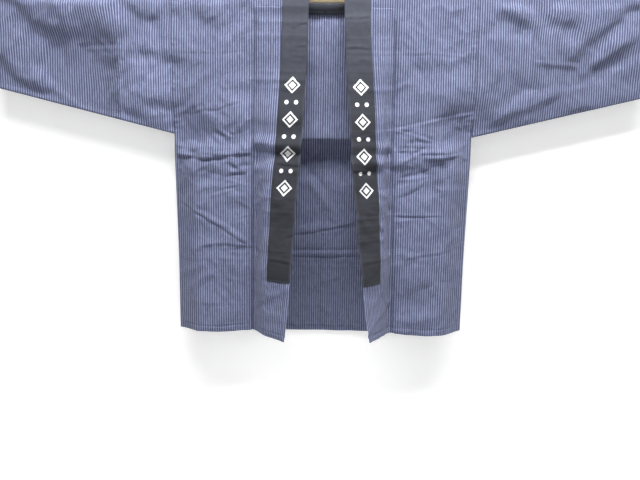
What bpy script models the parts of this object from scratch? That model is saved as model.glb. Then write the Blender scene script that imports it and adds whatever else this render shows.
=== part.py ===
"""A happi coat hung on a wooden rod, built from the pieces that a maker cuts and sews.

Run it with: blender --background --python part.py

Metres, +Z up. The origin is where the hanger's hook rests, inside its crown. The coat's
front faces -Y. Left and right are the wearer's, so the wearer's right is at -X.

Every piece of cloth is worked out as a middle surface, a grid of points read from the
functions below, and a Solidify modifier gives it the thickness of the cloth. A "drop" is a
depth below the top of the rod, and an "out" is a distance from the coat's middle line.
"""

import functools
import math

import bmesh
import bpy
import numpy as np

RIGHT = -1  # the wearer's right, at -X
LEFT = 1
SIDE_NAMES = {RIGHT: "right", LEFT: "left"}

# The cloth.
CLOTH = 0.0012
SEAM_GAP = 0.0003
COLLAR_HALF_PLY = 0.0018  # from the collar's middle surface to the middle of each ply

# The hanger.
ROD_RADIUS = 0.010
ROD_HALF_LENGTH = 0.72
ROD_SIDES = 24
ROD_TOP_Z = -0.085
ROD_END_ROUND = 0.003
WIRE_RADIUS = 0.002
HOOK_INSIDE_RADIUS = 0.020
HOOK_FLANGE_RADIUS = 0.0065
HOOK_FLANGE_DEPTH = 0.0025
HOOK_FLANGE_SIDES = 16
HOOK_STEM_BEND = 0.006  # how far below the crown the straight stem ends
HOOK_SWEEP = (-72, 168)  # the crown's start and end, in degrees round its middle
HOOK_SWEEP_STEPS = 10

# How the cloth passes over the rod. The collar's thickness lifts it beside the neck.
SHOULDER_RADIUS = 0.0112
COLLAR_LIFT = 0.0022
LIFT_FADES_OUT = (0.095, 0.160)
LIFT_FADES_DROP = (0.010, 0.070)
SHOULDER_STEPS = 8

# The cut of the coat.
ARMHOLE_OUT = 0.305
HEM_SIDE_OUT = 0.300
SIDE_TAPER = 0.625  # the share of the side seam over which the coat narrows to its hem
ARMPIT_DROP = 0.2826
ARMPIT_DRAW = 0.0012
ARMPIT_DRAW_REACH = 0.030
INSET_OUT = 0.413
CUFF_OUT = 0.668
SLEEVE_RISE = 0.2467  # how much the underarm edge rises for each metre outwards
SEAM_LENS = 0.050  # the width over which front and back close towards the side seam
SLEEVE_LENS = 0.035
BACK_PANEL_OUT = 0.137  # where the back's columns turn from the inner to the outer group
OKUMI_TOP_DROP = 0.034
OKUMI_WIDTH = {RIGHT: 0.0535, LEFT: 0.0475}
COLLAR_WIDTH = 0.052
COLLAR_HOLDS = 0.010  # the raw edge that the collar covers
NECK_BACK_DROP = 0.042
NECK_CURVE_START = 0.010  # how far over the rod the neck begins to curve
NECK_ROUNDNESS = 2.3
NECK_BACK_SHARES = (0.30, 0.56, 0.75, 0.88, 0.965, 1.0)
COLLAR_BACK_LEAN = 0.14
COLLAR_RISE_POWER = 1.6  # how late, on its way to the back, the collar turns upright
COLLAR_END_ROW = 0.582  # the row whose drop is the collar's end


def table(columns, *rows):
    """A small table as one array for each named column."""
    return {name: np.array([row[i] for row in rows]) for i, name in enumerate(columns.split())}


# How far the front hangs forward of the rod's axis, and the back behind it.
FALL = table(
    "drop front back",
    (0.010, 0.0112, 0.0112),
    (0.034, 0.0128, 0.0121),
    (0.100, 0.0158, 0.0138),
    (0.170, 0.0193, 0.0160),
    (0.250, 0.0265, 0.0215),
    (0.320, 0.0330, 0.0270),
    (0.420, 0.0395, 0.0320),
    (0.560, 0.0410, 0.0340),
    (0.710, 0.0420, 0.0345),
)

# The front edges swing forward. The okumi leaves its seam at one angle, and the collar goes
# on at another, both in degrees from the plane of the coat.
SWING = {
    RIGHT: table(
        "drop seam_out okumi_angle collar_angle",
        (0.010, 0.1370, 0, 0),
        (0.034, 0.1375, 0, 0),
        (0.130, 0.1398, 5, 0),
        (0.210, 0.1410, 24, 0),
        (0.300, 0.1420, 40, 3),
        (0.380, 0.1420, 56, 9),
        (0.450, 0.1418, 64, 13),
        (0.510, 0.1417, 69, 18),
        (0.585, 0.1416, 72, 27),
        (0.700, 0.1424, 62, 39),
    ),
    LEFT: table(
        "drop seam_out okumi_angle collar_angle",
        (0.010, 0.1385, 0, 0),
        (0.034, 0.1387, 7, 0),
        (0.130, 0.1412, 26, 0),
        (0.210, 0.1410, 50, 5),
        (0.300, 0.1402, 63, 15),
        (0.380, 0.1421, 69, 22),
        (0.450, 0.1447, 71, 31),
        (0.510, 0.1465, 71, 37),
        (0.585, 0.1482, 70, 46),
        (0.700, 0.1502, 68, 56),
    ),
}
SEAM_TURN = (0.0, 0.016)  # where the okumi takes its angle, along the cloth from its seam
COLLAR_TURN = (-0.024, -0.002)  # where it turns to the collar's, from the collar's edge
SWING_STEP = 0.001

# The front hem's drop, by the distance out.
FRONT_HEM = table(
    "out right left",
    (0.137, 0.6885, 0.6915),
    (0.160, 0.6898, 0.6928),
    (0.190, 0.6925, 0.6955),
    (0.215, 0.6937, 0.6975),
    (0.255, 0.6926, 0.6956),
    (0.300, 0.6962, 0.6962),
)
FRONT_EDGE_DROP = {RIGHT: 0.6890, LEFT: 0.6855}
BACK_HEM = table("out drop", (0.0, 0.7110), (0.10, 0.7110), (0.20, 0.7075), (0.30, 0.6962))

# The rows of the grids, by drop. Some lie on the creases that storage pressed in.
ROWS_TO_ARMPIT = (0.010, 0.0338, 0.060, 0.088, 0.111, 0.134, 0.160, 0.188, 0.215, 0.240, 0.263)
ROWS_TO_HEM = (
    0.2826, 0.303, 0.320, 0.337, 0.365, 0.395, 0.425, 0.455, 0.485,
    0.510, 0.526, 0.550, COLLAR_END_ROW, 0.605, 0.635, 0.665, 0.685, 0.700,
)
LAST_ROW_DROP = ROWS_TO_HEM[-1]
INNER_COLUMNS = (0, 0.26, 0.52, 0.77, 1)
OUTER_COLUMNS = (0, 0.23, 0.45, 0.64, 0.79, 0.89, 0.955, 1)
INSET_COLUMNS = (0, 0.35, 0.68, 1)
SLEEVE_COLUMNS = (0, 0.16, 0.32, 0.48, 0.64, 0.80, 0.92, 1)
SLEEVE_ROWS = (0, 0.09, 0.19, 0.29, 0.39, 0.50, 0.61, 0.72, 0.82, 0.90, 0.96)

# Soft folds, each along a line from (x1, drop1) to (x2, drop2). A positive depth is a trough.
FOLDS_BEGIN = (0.010, 0.050)  # the drops between which the folds take their depth
FOLD_END_LOSS = 0.5  # how much shallower a fold is at its ends
FRONT_FOLDS = table(
    "x1 drop1 x2 drop2 width depth",
    (-0.64, 0.02, -0.43, 0.115, 0.030, 0.0060),
    (-0.60, 0.19, -0.52, 0.150, 0.022, 0.0030),
    (-0.40, 0.18, -0.33, 0.230, 0.022, 0.0040),
    (0.66, 0.03, 0.50, 0.130, 0.026, 0.0050),
    (0.66, 0.11, 0.36, 0.245, 0.024, 0.0045),
    (0.44, 0.04, 0.38, 0.075, 0.022, 0.0045),
    (-0.30, 0.422, -0.15, 0.503, 0.024, 0.0030),
    (-0.30, 0.320, 0.30, 0.318, 0.018, 0.0035),
    (-0.29, 0.111, 0.29, 0.111, 0.020, 0.0015),
    (-0.30, 0.526, 0.30, 0.526, 0.020, 0.0020),
)
BACK_FOLDS = table(
    "x1 drop1 x2 drop2 width depth",
    (-0.28, 0.330, 0.28, 0.326, 0.020, 0.0040),
    (-0.28, 0.526, 0.28, 0.526, 0.020, 0.0025),
    (-0.62, 0.04, -0.44, 0.130, 0.028, 0.0050),
    (0.62, 0.04, 0.42, 0.150, 0.028, 0.0050),
    (-0.27, 0.150, -0.16, 0.270, 0.026, 0.0035),
    (0.27, 0.170, 0.15, 0.280, 0.026, 0.0035),
)


def read(rows, column, at, by="drop"):
    """A column of a table read at a place between its rows, with a smooth curve through them."""
    places = rows[by]
    values = rows[column].astype(float)
    at = min(max(at, places[0]), places[-1])
    slopes = np.gradient(values, places)
    i = min(int(np.searchsorted(places, at, side="right")), len(places) - 1) - 1
    span = places[i + 1] - places[i]
    t = (at - places[i]) / span
    start = values[i] * (1 + 2 * t) * (1 - t) ** 2 + slopes[i] * span * t * (1 - t) ** 2
    end = values[i + 1] * t * t * (3 - 2 * t) + slopes[i + 1] * span * t * t * (t - 1)
    return start + end


def eased(value, low, high):
    """0 below low, 1 above high, and a soft step between them."""
    t = min(max((value - low) / (high - low), 0.0), 1.0)
    return t * t * (3 - 2 * t)


def fold_depth(folds, x, drop):
    """How deep the troughs of a table are at one point of the cloth."""
    along_x = folds["x2"] - folds["x1"]
    along_drop = folds["drop2"] - folds["drop1"]
    length = np.hypot(along_x, along_drop)
    t = ((x - folds["x1"]) * along_x + (drop - folds["drop1"]) * along_drop) / length**2
    past_end = (np.abs(t - 0.5) - 0.5).clip(0) * length
    across = (x - folds["x1"]) * along_drop - (drop - folds["drop1"]) * along_x
    away = (across / length) ** 2 + past_end**2
    taper = 1 - FOLD_END_LOSS * np.abs(2 * t.clip(0, 1) - 1) ** 3
    return float((folds["depth"] * taper * np.exp(-away / folds["width"] ** 2)).sum())


def underarm_drop(out):
    """The drop of the sleeve's lower edge."""
    return ARMPIT_DROP - SLEEVE_RISE * (out - ARMHOLE_OUT)


def side_out(drop):
    """How far out the side seam is, with the armpit drawn in a little by the sleeve's seam."""
    t = max(0.0, drop - ARMPIT_DROP) / (LAST_ROW_DROP - ARMPIT_DROP)
    drawn_in = ARMPIT_DRAW * math.exp(-(((drop - ARMPIT_DROP) / ARMPIT_DRAW_REACH) ** 2))
    return ARMHOLE_OUT - drawn_in + (HEM_SIDE_OUT - ARMHOLE_OUT) * min(1.0, t / SIDE_TAPER)


def closing(out, drop):
    """1 inside the coat, and down to 0 where front and back meet at a side or underarm seam."""
    if out > ARMHOLE_OUT:
        lens = SEAM_LENS + (SLEEVE_LENS - SEAM_LENS) * eased(out, ARMHOLE_OUT, INSET_OUT)
        inside = underarm_drop(out) - drop
    elif drop > ARMPIT_DROP:
        lens = SEAM_LENS
        inside = side_out(drop) - out
    else:
        lens = SEAM_LENS
        inside = math.hypot(side_out(drop) - out, ARMPIT_DROP - drop)
    return 1 - (1 - min(max(inside / lens, 0.0), 1.0)) ** 2


def point(x, y, drop):
    return (x, y, ROD_TOP_Z - drop)


def shoulder_lift(out):
    """How much higher the cloth rides over the rod, beside the collar."""
    return COLLAR_LIFT * (1 - eased(out, *LIFT_FADES_OUT))


def front_point(x, drop):
    """A point of the front, from the shoulder down, outside the okumi's seam."""
    depth = read(FALL, "front", drop) + shoulder_lift(abs(x)) * (1 - eased(drop, *LIFT_FADES_DROP))
    depth -= fold_depth(FRONT_FOLDS, x, drop) * eased(drop, *FOLDS_BEGIN)
    return point(x, -depth * closing(abs(x), drop), drop)


def back_point(x, drop):
    """A point of the back, from the shoulder down."""
    depth = read(FALL, "back", drop) + shoulder_lift(abs(x)) * (1 - eased(drop, *LIFT_FADES_DROP))
    depth -= fold_depth(BACK_FOLDS, x, drop) * eased(drop, *FOLDS_BEGIN)
    return point(x, depth * closing(abs(x), drop), drop)


def shoulder_point(x, angle):
    """A point over the rod. The angle is 90 degrees at the front, 0 on top and -90 behind."""
    radius = SHOULDER_RADIUS + shoulder_lift(abs(x))
    return point(x, -radius * math.sin(angle), ROD_RADIUS - radius * math.cos(angle))


def seam_out(side, drop):
    return read(SWING[side], "seam_out", drop)


@functools.cache
def swing_path(side, drop):
    """The front edge's own curve at one drop: (along, inwards, forwards, angle) arrays."""
    okumi_angle = math.radians(read(SWING[side], "okumi_angle", drop))
    collar_angle = math.radians(read(SWING[side], "collar_angle", drop))
    along = np.arange(0.0, OKUMI_WIDTH[side] + COLLAR_WIDTH + 2 * SWING_STEP, SWING_STEP)
    angles = []
    for at in along:
        turned = eased(at - OKUMI_WIDTH[side], *COLLAR_TURN)
        angle = okumi_angle * eased(at, *SEAM_TURN)
        angles.append(angle + (collar_angle - okumi_angle) * turned)
    angles = np.array(angles)
    between = (angles[1:] + angles[:-1]) / 2
    inwards = np.concatenate(([0.0], np.cumsum(np.cos(between) * SWING_STEP)))
    forwards = np.concatenate(([0.0], np.cumsum(np.sin(between) * SWING_STEP)))
    return along, inwards, forwards, angles


def swung_point(side, drop, along, off=0.0):
    """A point of the front edge: along the cloth from the okumi's seam, and off its surface."""
    places, inwards, forwards, angles = swing_path(side, drop)
    angle = float(np.interp(along, places, angles))
    x, y, z = front_point(side * seam_out(side, drop), drop)
    x -= side * (float(np.interp(along, places, inwards)) - off * math.sin(angle))
    y -= float(np.interp(along, places, forwards)) + off * math.cos(angle)
    lift = shoulder_lift(abs(x)) - shoulder_lift(seam_out(side, drop))
    y -= lift * (1 - eased(drop, *LIFT_FADES_DROP))
    return (x, y, z)


def neck_runs():
    """How far over the rod, from where the cloth meets its front, each row of the neck lies."""
    over = math.pi * SHOULDER_RADIUS
    behind = NECK_BACK_DROP - ROD_RADIUS
    runs = [over * i / SHOULDER_STEPS for i in range(SHOULDER_STEPS + 1)]
    return runs + [over + behind * share for share in NECK_BACK_SHARES]


NECK_RUNS = neck_runs()
NECK_STEPS = len(NECK_RUNS) - 1


def neck_station(side, step):
    """Where the collar is sewn on at one row of the neck: (x, run over the rod)."""
    run = NECK_RUNS[step]
    share = max(run - NECK_CURVE_START, 0) / (NECK_RUNS[-1] - NECK_CURVE_START)
    half_width = (1 - share**NECK_ROUNDNESS) ** (1 / NECK_ROUNDNESS)
    neck_out = seam_out(side, ROD_RADIUS) - OKUMI_WIDTH[side]
    return side * neck_out * half_width, run


def over_point(x, run):
    """A point of the cloth at a run over the rod, from its front to its back."""
    if run < 0:
        return front_point(x, ROD_RADIUS - run)
    over = math.pi * SHOULDER_RADIUS
    if run <= over:
        return shoulder_point(x, math.pi * (0.5 - run / over))
    return back_point(x, ROD_RADIUS + run - over)


def collar_directions(side, step):
    """Where the collar's width points at a neck station, and the normal of its outer ply."""
    t = step / NECK_STEPS
    rise = math.radians(90 * t**COLLAR_RISE_POWER)
    width = np.array((-side * math.cos(rise), COLLAR_BACK_LEAN * t, math.sin(rise)))
    width /= np.linalg.norm(width)
    before = np.array(over_point(*neck_station(side, max(step - 1, 0))))
    after = np.array(over_point(*neck_station(side, min(step + 1, NECK_STEPS))))
    if step == 0:
        before = np.array(over_point(neck_station(side, 0)[0], -NECK_RUNS[1]))
    along = after - before
    if step == NECK_STEPS:
        along = np.array((-side, 0.0, 0.0))
    normal = np.cross(along, width) * side
    return width, normal / np.linalg.norm(normal)


def collar_point(side, step, across, off=0.0):
    """A point of the collar behind the front: across from its sewn edge, and off its surface."""
    width, normal = collar_directions(side, step)
    return tuple(np.array(over_point(*neck_station(side, step))) + across * width + off * normal)


def hem_row(drop, hem):
    """A row's drop, spread so that the last row lies on the hem."""
    if drop <= ARMPIT_DROP:
        return drop
    return ARMPIT_DROP + (drop - ARMPIT_DROP) * (hem - ARMPIT_DROP) / (LAST_ROW_DROP - ARMPIT_DROP)


def back_hem(out):
    return read(BACK_HEM, "drop", out, by="out")


def front_edge_row(side, drop):
    """The drop of a row along the okumi and the collar."""
    return hem_row(drop, front_hem(side, seam_out(side, drop)))


def front_hem(side, out):
    return read(FRONT_HEM, SIDE_NAMES[side], out, by="out")


def body_front_row(side, drop):
    """The columns of the front from the okumi's seam to the side seam or the armhole."""
    seam = seam_out(side, drop) + SEAM_GAP / 2
    columns = []
    for share in OUTER_COLUMNS:
        row = hem_row(drop, front_hem(side, seam + (side_out(drop) - seam) * share))
        columns.append(front_point(side * (seam + (side_out(row) - seam) * share), row))
    return columns


def body_above_okumi_row(side, drop):
    """The columns between the neck's raw edge and the okumi's seam line, above the okumi."""
    collar_edge = OKUMI_WIDTH[side]
    raw_edge = swung_point(side, drop, collar_edge + COLLAR_HOLDS)
    inner = [swung_point(side, drop, collar_edge * (1 - share)) for share in INNER_COLUMNS[:-1]]
    return [raw_edge] + inner


def body_back_row(side, drop):
    """The columns of the back from the middle seam to the side seam or the armhole."""
    columns = []
    for share in INNER_COLUMNS[:-1]:
        out = max(BACK_PANEL_OUT * share, SEAM_GAP / 2)
        columns.append(back_point(side * out, hem_row(drop, back_hem(out))))
    for share in OUTER_COLUMNS:
        row = hem_row(drop, back_hem(BACK_PANEL_OUT + (side_out(drop) - BACK_PANEL_OUT) * share))
        out = BACK_PANEL_OUT + (side_out(row) - BACK_PANEL_OUT) * share
        columns.append(back_point(side * out, row))
    return columns


def neck_row(side, step):
    """The columns from the neck's raw edge to the armhole at one of the collar's stations."""
    x, run = neck_station(side, step)
    x = side * max(side * x, SEAM_GAP / 2)
    raw = collar_point(side, step, COLLAR_HOLDS)
    raw = (side * max(side * raw[0], SEAM_GAP / 2), raw[1], raw[2])
    columns = [raw]
    columns += [over_point(x + (side * BACK_PANEL_OUT - x) * share, run) for share in INNER_COLUMNS[:-1]]
    for share in OUTER_COLUMNS:
        out = BACK_PANEL_OUT + (ARMHOLE_OUT - BACK_PANEL_OUT) * share
        columns.append(over_point(side * out, run))
    return columns


def add_quads(mesh, first_row, second_row):
    """The faces between two rows of points."""
    first = [mesh.verts.new(p) for p in first_row]
    second = [mesh.verts.new(p) for p in second_row]
    for i in range(len(first) - 1):
        mesh.faces.new((first[i], first[i + 1], second[i + 1], second[i]))


def cloth_object(name, mesh, material):
    """Joins the faces at their shared points and gives the cloth its thickness."""
    bmesh.ops.remove_doubles(mesh, verts=mesh.verts, dist=1e-5)
    bmesh.ops.recalc_face_normals(mesh, faces=mesh.faces)
    data = bpy.data.meshes.new(name)
    mesh.to_mesh(data)
    mesh.free()
    data.shade_smooth()
    data.materials.append(material)
    thing = bpy.data.objects.new(name, data)
    bpy.context.collection.objects.link(thing)
    wall = thing.modifiers.new("cloth", "SOLIDIFY")
    wall.thickness = CLOTH
    wall.offset = 0.0
    wall.use_even_offset = True
    wall.thickness_clamp = 1.5
    return thing


def make_body(side, material):
    mesh = bmesh.new()
    above = [body_above_okumi_row(side, drop) for drop in ROWS_TO_ARMPIT[:2]]
    front = [body_front_row(side, drop) for drop in ROWS_TO_ARMPIT + ROWS_TO_HEM]
    for i in range(len(front) - 1):
        add_quads(mesh, front[i], front[i + 1])
    add_quads(mesh, above[0] + front[0][:1], above[1] + front[1][:1])
    over = [neck_row(side, step) for step in range(NECK_STEPS + 1)]
    over[0] = above[0] + front[0]
    for i in range(NECK_STEPS):
        add_quads(mesh, over[i], over[i + 1])
    back = [body_back_row(side, drop) for drop in (NECK_BACK_DROP,) + ROWS_TO_ARMPIT[2:] + ROWS_TO_HEM]
    back[0] = over[-1][1:]
    for i in range(len(back) - 1):
        add_quads(mesh, back[i], back[i + 1])
    return cloth_object("body_" + SIDE_NAMES[side], mesh, material)


def okumi_row(side, drop, columns):
    """The columns of the okumi at one row. Below the collar the rows spread to its own hem."""
    full_width = OKUMI_WIDTH[side] + COLLAR_WIDTH
    points = []
    for along in columns:
        row = front_edge_row(side, drop)
        below_collar = max(drop - COLLAR_END_ROW, 0) / (LAST_ROW_DROP - COLLAR_END_ROW)
        seam_hem = front_hem(side, seam_out(side, drop))
        row += (FRONT_EDGE_DROP[side] - seam_hem) * below_collar * along / full_width
        points.append(swung_point(side, row, along))
    return points


def make_okumi(side, material):
    edge = OKUMI_WIDTH[side]
    turn_in = [SEAM_TURN[1] * share for share in (0.45, 0.9)]
    turn_out = [edge + COLLAR_TURN[0], edge + sum(COLLAR_TURN) / 2]
    narrow = [SEAM_GAP / 2, *turn_in, *turn_out, edge, edge + COLLAR_HOLDS]
    wide = [edge + (COLLAR_HOLDS + COLLAR_WIDTH) / 2, edge + COLLAR_WIDTH]
    rows = [OKUMI_TOP_DROP + SEAM_GAP / 2, *ROWS_TO_ARMPIT[2:], *ROWS_TO_HEM]
    rows.insert(rows.index(COLLAR_END_ROW) + 1, COLLAR_END_ROW + SEAM_GAP)
    mesh = bmesh.new()
    for upper, lower in zip(rows[:-1], rows[1:]):
        columns = narrow + wide if upper > COLLAR_END_ROW else narrow
        add_quads(mesh, okumi_row(side, upper, columns), okumi_row(side, lower, columns))
    return cloth_object("okumi_" + SIDE_NAMES[side], mesh, material)


def collar_section():
    """The folded band's middle line as (across, off), from the sewn edge of its outer ply."""
    fold = COLLAR_WIDTH - COLLAR_HALF_PLY
    outer = [(across, COLLAR_HALF_PLY) for across in (0.0, COLLAR_HOLDS, fold)]
    turn = [math.radians(angle) for angle in (30, -30)]
    round_edge = [(fold + COLLAR_HALF_PLY * math.cos(a), COLLAR_HALF_PLY * math.sin(a)) for a in turn]
    inner = [(across, -off) for across, off in reversed(outer)]
    return outer + round_edge + inner


def collar_rows(side):
    """The band's rows from its lower end on one side up to the middle of the back neck."""
    edge = OKUMI_WIDTH[side]
    drops = [drop for drop in ROWS_TO_ARMPIT + ROWS_TO_HEM if drop <= COLLAR_END_ROW]
    rows = []
    for drop in reversed(drops):
        row = front_edge_row(side, drop)
        rows.append([swung_point(side, row, edge + a, o) for a, o in collar_section()])
    for step in range(1, NECK_STEPS + 1):
        rows.append([collar_point(side, step, a, o) for a, o in collar_section()])
    return rows


def make_collar(material):
    mesh = bmesh.new()
    right = collar_rows(RIGHT)
    left = collar_rows(LEFT)
    middle = [tuple((np.array(a) + np.array(b)) / 2) for a, b in zip(right[-1], left[-1])]
    rows = right[:-1] + [middle] + left[:-1][::-1]
    for i in range(len(rows) - 1):
        add_quads(mesh, rows[i], rows[i + 1])
    return cloth_object("collar", mesh, material)


def tube_ring(side, out):
    """A closed ring of the sleeve at one distance out, from the underarm seam round the rod."""
    x = side * out
    low = underarm_drop(out)
    drops = [ROD_RADIUS + (low - ROD_RADIUS) * share for share in SLEEVE_ROWS]
    angles = [math.pi / 2 - math.pi * i / SHOULDER_STEPS for i in range(1, SHOULDER_STEPS)]
    seam = point(x, 0.0, low)
    front = [front_point(x, drop) for drop in reversed(drops)]
    over = [shoulder_point(x, angle) for angle in angles]
    back = [back_point(x, drop) for drop in drops]
    return [seam] + front + over + back + [seam]


def make_tube(name, side, start, end, columns, material):
    mesh = bmesh.new()
    outs = [start + (end - start) * share for share in columns]
    for near, far in zip(outs[:-1], outs[1:]):
        add_quads(mesh, tube_ring(side, near), tube_ring(side, far))
    return cloth_object(name + SIDE_NAMES[side], mesh, material)


def make_rod(material):
    bpy.ops.mesh.primitive_cylinder_add(
        vertices=ROD_SIDES,
        radius=ROD_RADIUS,
        depth=2 * ROD_HALF_LENGTH,
        location=(0, 0, ROD_TOP_Z - ROD_RADIUS),
        rotation=(0, math.pi / 2, 0),
    )
    rod = bpy.context.object
    rod.name = "hanger_rod"
    rod.data.materials.append(material)
    rounded = rod.modifiers.new("rounded ends", "BEVEL")
    rounded.width = ROD_END_ROUND
    rounded.segments = 2
    rounded.limit_method = "ANGLE"
    rounded.angle_limit = math.radians(60)
    rod.data.shade_smooth()
    return rod


def hook_route():
    """The wire's middle line: up from the rod, sideways, and round the crown to its tip."""
    radius = HOOK_INSIDE_RADIUS + WIRE_RADIUS
    middle_z = WIRE_RADIUS - radius
    foot_z = ROD_TOP_Z + SEAM_GAP + HOOK_FLANGE_DEPTH / 2
    neck_z = middle_z - radius - HOOK_STEM_BEND
    route = [(0, foot_z), (0, foot_z + 0.5 * (neck_z - foot_z)), (0, neck_z)]
    sweep = np.radians(np.linspace(*HOOK_SWEEP, HOOK_SWEEP_STEPS + 1))
    route += [(radius * math.cos(a), middle_z + radius * math.sin(a)) for a in sweep]
    return [(x, 0.0, z) for x, z in route]


def make_hook(material):
    curve = bpy.data.curves.new("hook wire", "CURVE")
    curve.dimensions = "3D"
    curve.bevel_depth = WIRE_RADIUS
    curve.bevel_resolution = 2
    curve.use_fill_caps = True
    spline = curve.splines.new("POLY")
    route = hook_route()
    spline.points.add(len(route) - 1)
    for place, where in zip(spline.points, route):
        place.co = (*where, 1.0)
    wire = bpy.data.objects.new("hook wire", curve)
    bpy.context.collection.objects.link(wire)
    graph = bpy.context.evaluated_depsgraph_get()
    mesh = bpy.data.meshes.new_from_object(wire.evaluated_get(graph))
    bpy.data.objects.remove(wire)
    hook = bpy.data.objects.new("hanger_hook", mesh)
    bpy.context.collection.objects.link(hook)
    bpy.ops.mesh.primitive_cylinder_add(
        vertices=HOOK_FLANGE_SIDES,
        radius=HOOK_FLANGE_RADIUS,
        depth=HOOK_FLANGE_DEPTH,
        location=(0, 0, ROD_TOP_Z + SEAM_GAP + HOOK_FLANGE_DEPTH / 2),
    )
    flange = bpy.context.object
    flange.name = "hook flange"
    flange.hide_render = True
    flange.display_type = "WIRE"
    join = hook.modifiers.new("flange", "BOOLEAN")
    join.operation = "UNION"
    join.object = flange
    hook.data.materials.clear()
    hook.data.materials.append(material)
    return hook


def make_material(name, colour, roughness, metallic=0.0):
    material = bpy.data.materials.new(name)
    material.use_nodes = True
    shader = material.node_tree.nodes["Principled BSDF"]
    shader.inputs["Base Color"].default_value = (*colour, 1.0)
    shader.inputs["Roughness"].default_value = roughness
    shader.inputs["Metallic"].default_value = metallic
    return material


def main():
    for thing in list(bpy.data.objects):
        bpy.data.objects.remove(thing)
    striped = make_material("striped cotton", (0.105, 0.12, 0.24), 0.9)
    black = make_material("black cotton", (0.028, 0.029, 0.034), 0.9)
    wood = make_material("pale wood", (0.52, 0.41, 0.22), 0.5)
    steel = make_material("hook steel", (0.6, 0.6, 0.6), 0.3, metallic=1.0)
    for side in (RIGHT, LEFT):
        make_body(side, striped)
        make_okumi(side, striped)
        make_tube("sleeve_inset_", side, ARMHOLE_OUT + SEAM_GAP, INSET_OUT, INSET_COLUMNS, striped)
        make_tube("sleeve_", side, INSET_OUT + SEAM_GAP, CUFF_OUT, SLEEVE_COLUMNS, striped)
    make_collar(black)
    make_rod(wood)
    make_hook(steel)


main()
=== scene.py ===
"""The looks of a happi coat hung on a wooden rod: woven stripes, creases, seams and stitches.

Metres, +Z up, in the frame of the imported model. The coat's front faces -Y, and left and right
are the wearer's, so the wearer's right is at -X. A "drop" is a depth below the top of the rod,
an "out" is a distance from the coat's middle line, and "along" runs over the cloth of a front
edge from the okumi's seam. Every piece of cloth is a fine grid of points on its middle
surface, to which a Solidify modifier gives the thickness of the cloth.
"""

import math
from functools import partial

import bmesh
import bpy
import numpy as np
from bpy.props import FloatProperty, FloatVectorProperty, PointerProperty
from mathutils import Matrix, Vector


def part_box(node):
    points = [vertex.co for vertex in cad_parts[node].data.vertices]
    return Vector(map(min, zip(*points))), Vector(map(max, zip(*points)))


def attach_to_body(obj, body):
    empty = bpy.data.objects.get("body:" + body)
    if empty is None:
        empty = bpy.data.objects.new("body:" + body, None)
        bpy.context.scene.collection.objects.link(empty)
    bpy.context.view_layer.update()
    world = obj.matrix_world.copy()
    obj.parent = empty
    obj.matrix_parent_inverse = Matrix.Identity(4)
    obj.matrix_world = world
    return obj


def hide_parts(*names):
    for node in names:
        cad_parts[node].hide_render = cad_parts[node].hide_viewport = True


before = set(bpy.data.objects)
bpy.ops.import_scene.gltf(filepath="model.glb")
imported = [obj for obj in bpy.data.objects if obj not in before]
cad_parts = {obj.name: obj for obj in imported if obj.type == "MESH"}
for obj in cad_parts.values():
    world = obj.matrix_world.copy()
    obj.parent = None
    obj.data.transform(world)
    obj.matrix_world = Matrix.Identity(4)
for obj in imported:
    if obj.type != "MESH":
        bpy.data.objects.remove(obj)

bl_info = {
    "name": "Happi coat on a rod",
    "version": (1, 0, 0),
    "blender": (4, 5, 0),
    "location": "3D Viewport > Sidebar > Happi",
    "description": "Dresses a hanging happi coat in striped cotton, with a black collar",
    "category": "Object",
}

RIGHT = -1  # the wearer's right, at -X
LEFT = 1
SIDE_NAMES = {RIGHT: "right", LEFT: "left"}

# The hanger, from the frame.
ROD_LOW, ROD_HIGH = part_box("hanger_rod")
ROD_TOP_Z = ROD_HIGH.z
ROD_RADIUS = (ROD_HIGH.z - ROD_LOW.z) / 2

# How the cloth passes over the rod. The collar's thickness lifts it beside the neck.
SHOULDER_RADIUS = 0.0112
OVER_ROD = math.pi * SHOULDER_RADIUS  # the length of cloth that lies over the rod
COLLAR_LIFT = 0.0022
LIFT_FADES_OUT = (0.095, 0.160)
LIFT_FADES_DROP = (0.010, 0.070)
SHOULDER_STEPS = 14

# The cut of the coat.
SEAM_GAP = 0.0001
ARMHOLE_OUT = 0.305
HEM_SIDE_OUT = 0.300
SIDE_TAPER = 0.625  # the share of the side seam over which the coat narrows to its hem
ARMPIT_DROP = 0.2826
ARMPIT_DRAW = 0.0012  # how far the sleeve's seam draws the side seam in
ARMPIT_DRAW_REACH = 0.030
INSET_OUT = 0.413
CUFF_OUT = 0.668
SLEEVE_RISE = 0.2467  # how much the underarm edge rises for each metre outwards
BACK_PANEL_OUT = 0.137  # where the back's columns turn from the inner to the outer group
OKUMI_TOP_DROP = 0.034
OKUMI_LAP = 0.005  # how far the okumi's top runs up over the cloth above it
OKUMI_WIDTH = {RIGHT: 0.0535, LEFT: 0.0475}
LAST_ROW_DROP = 0.700

# How the front and the back close towards the seam that joins them, at the side or underarm.
SEAM_LENS = 0.050  # the width over which the body closes
SLEEVE_LENS = 0.150  # and the sleeves
ARMPIT_LENS = 0.6  # how near to the sleeves' that width is beside the armpit
ARMPIT_LENS_ENDS = (ARMPIT_DROP - 0.01, ARMPIT_DROP + 0.07)  # where it turns to the body's
LENS_SOFT = 0.75  # 1 closes with an S-shaped curve, and 0 with a round one
EDGE_ROLL = 0.0028  # half the thickness of the seam's edge, and how near to it that is reached
EDGE_REACH = 0.0040
SEAM_PRESS = 0.012  # how near to that seam the folds flatten out
LEAST_DEPTH = 0.0009  # the cloth stays this far from the middle plane

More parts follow.
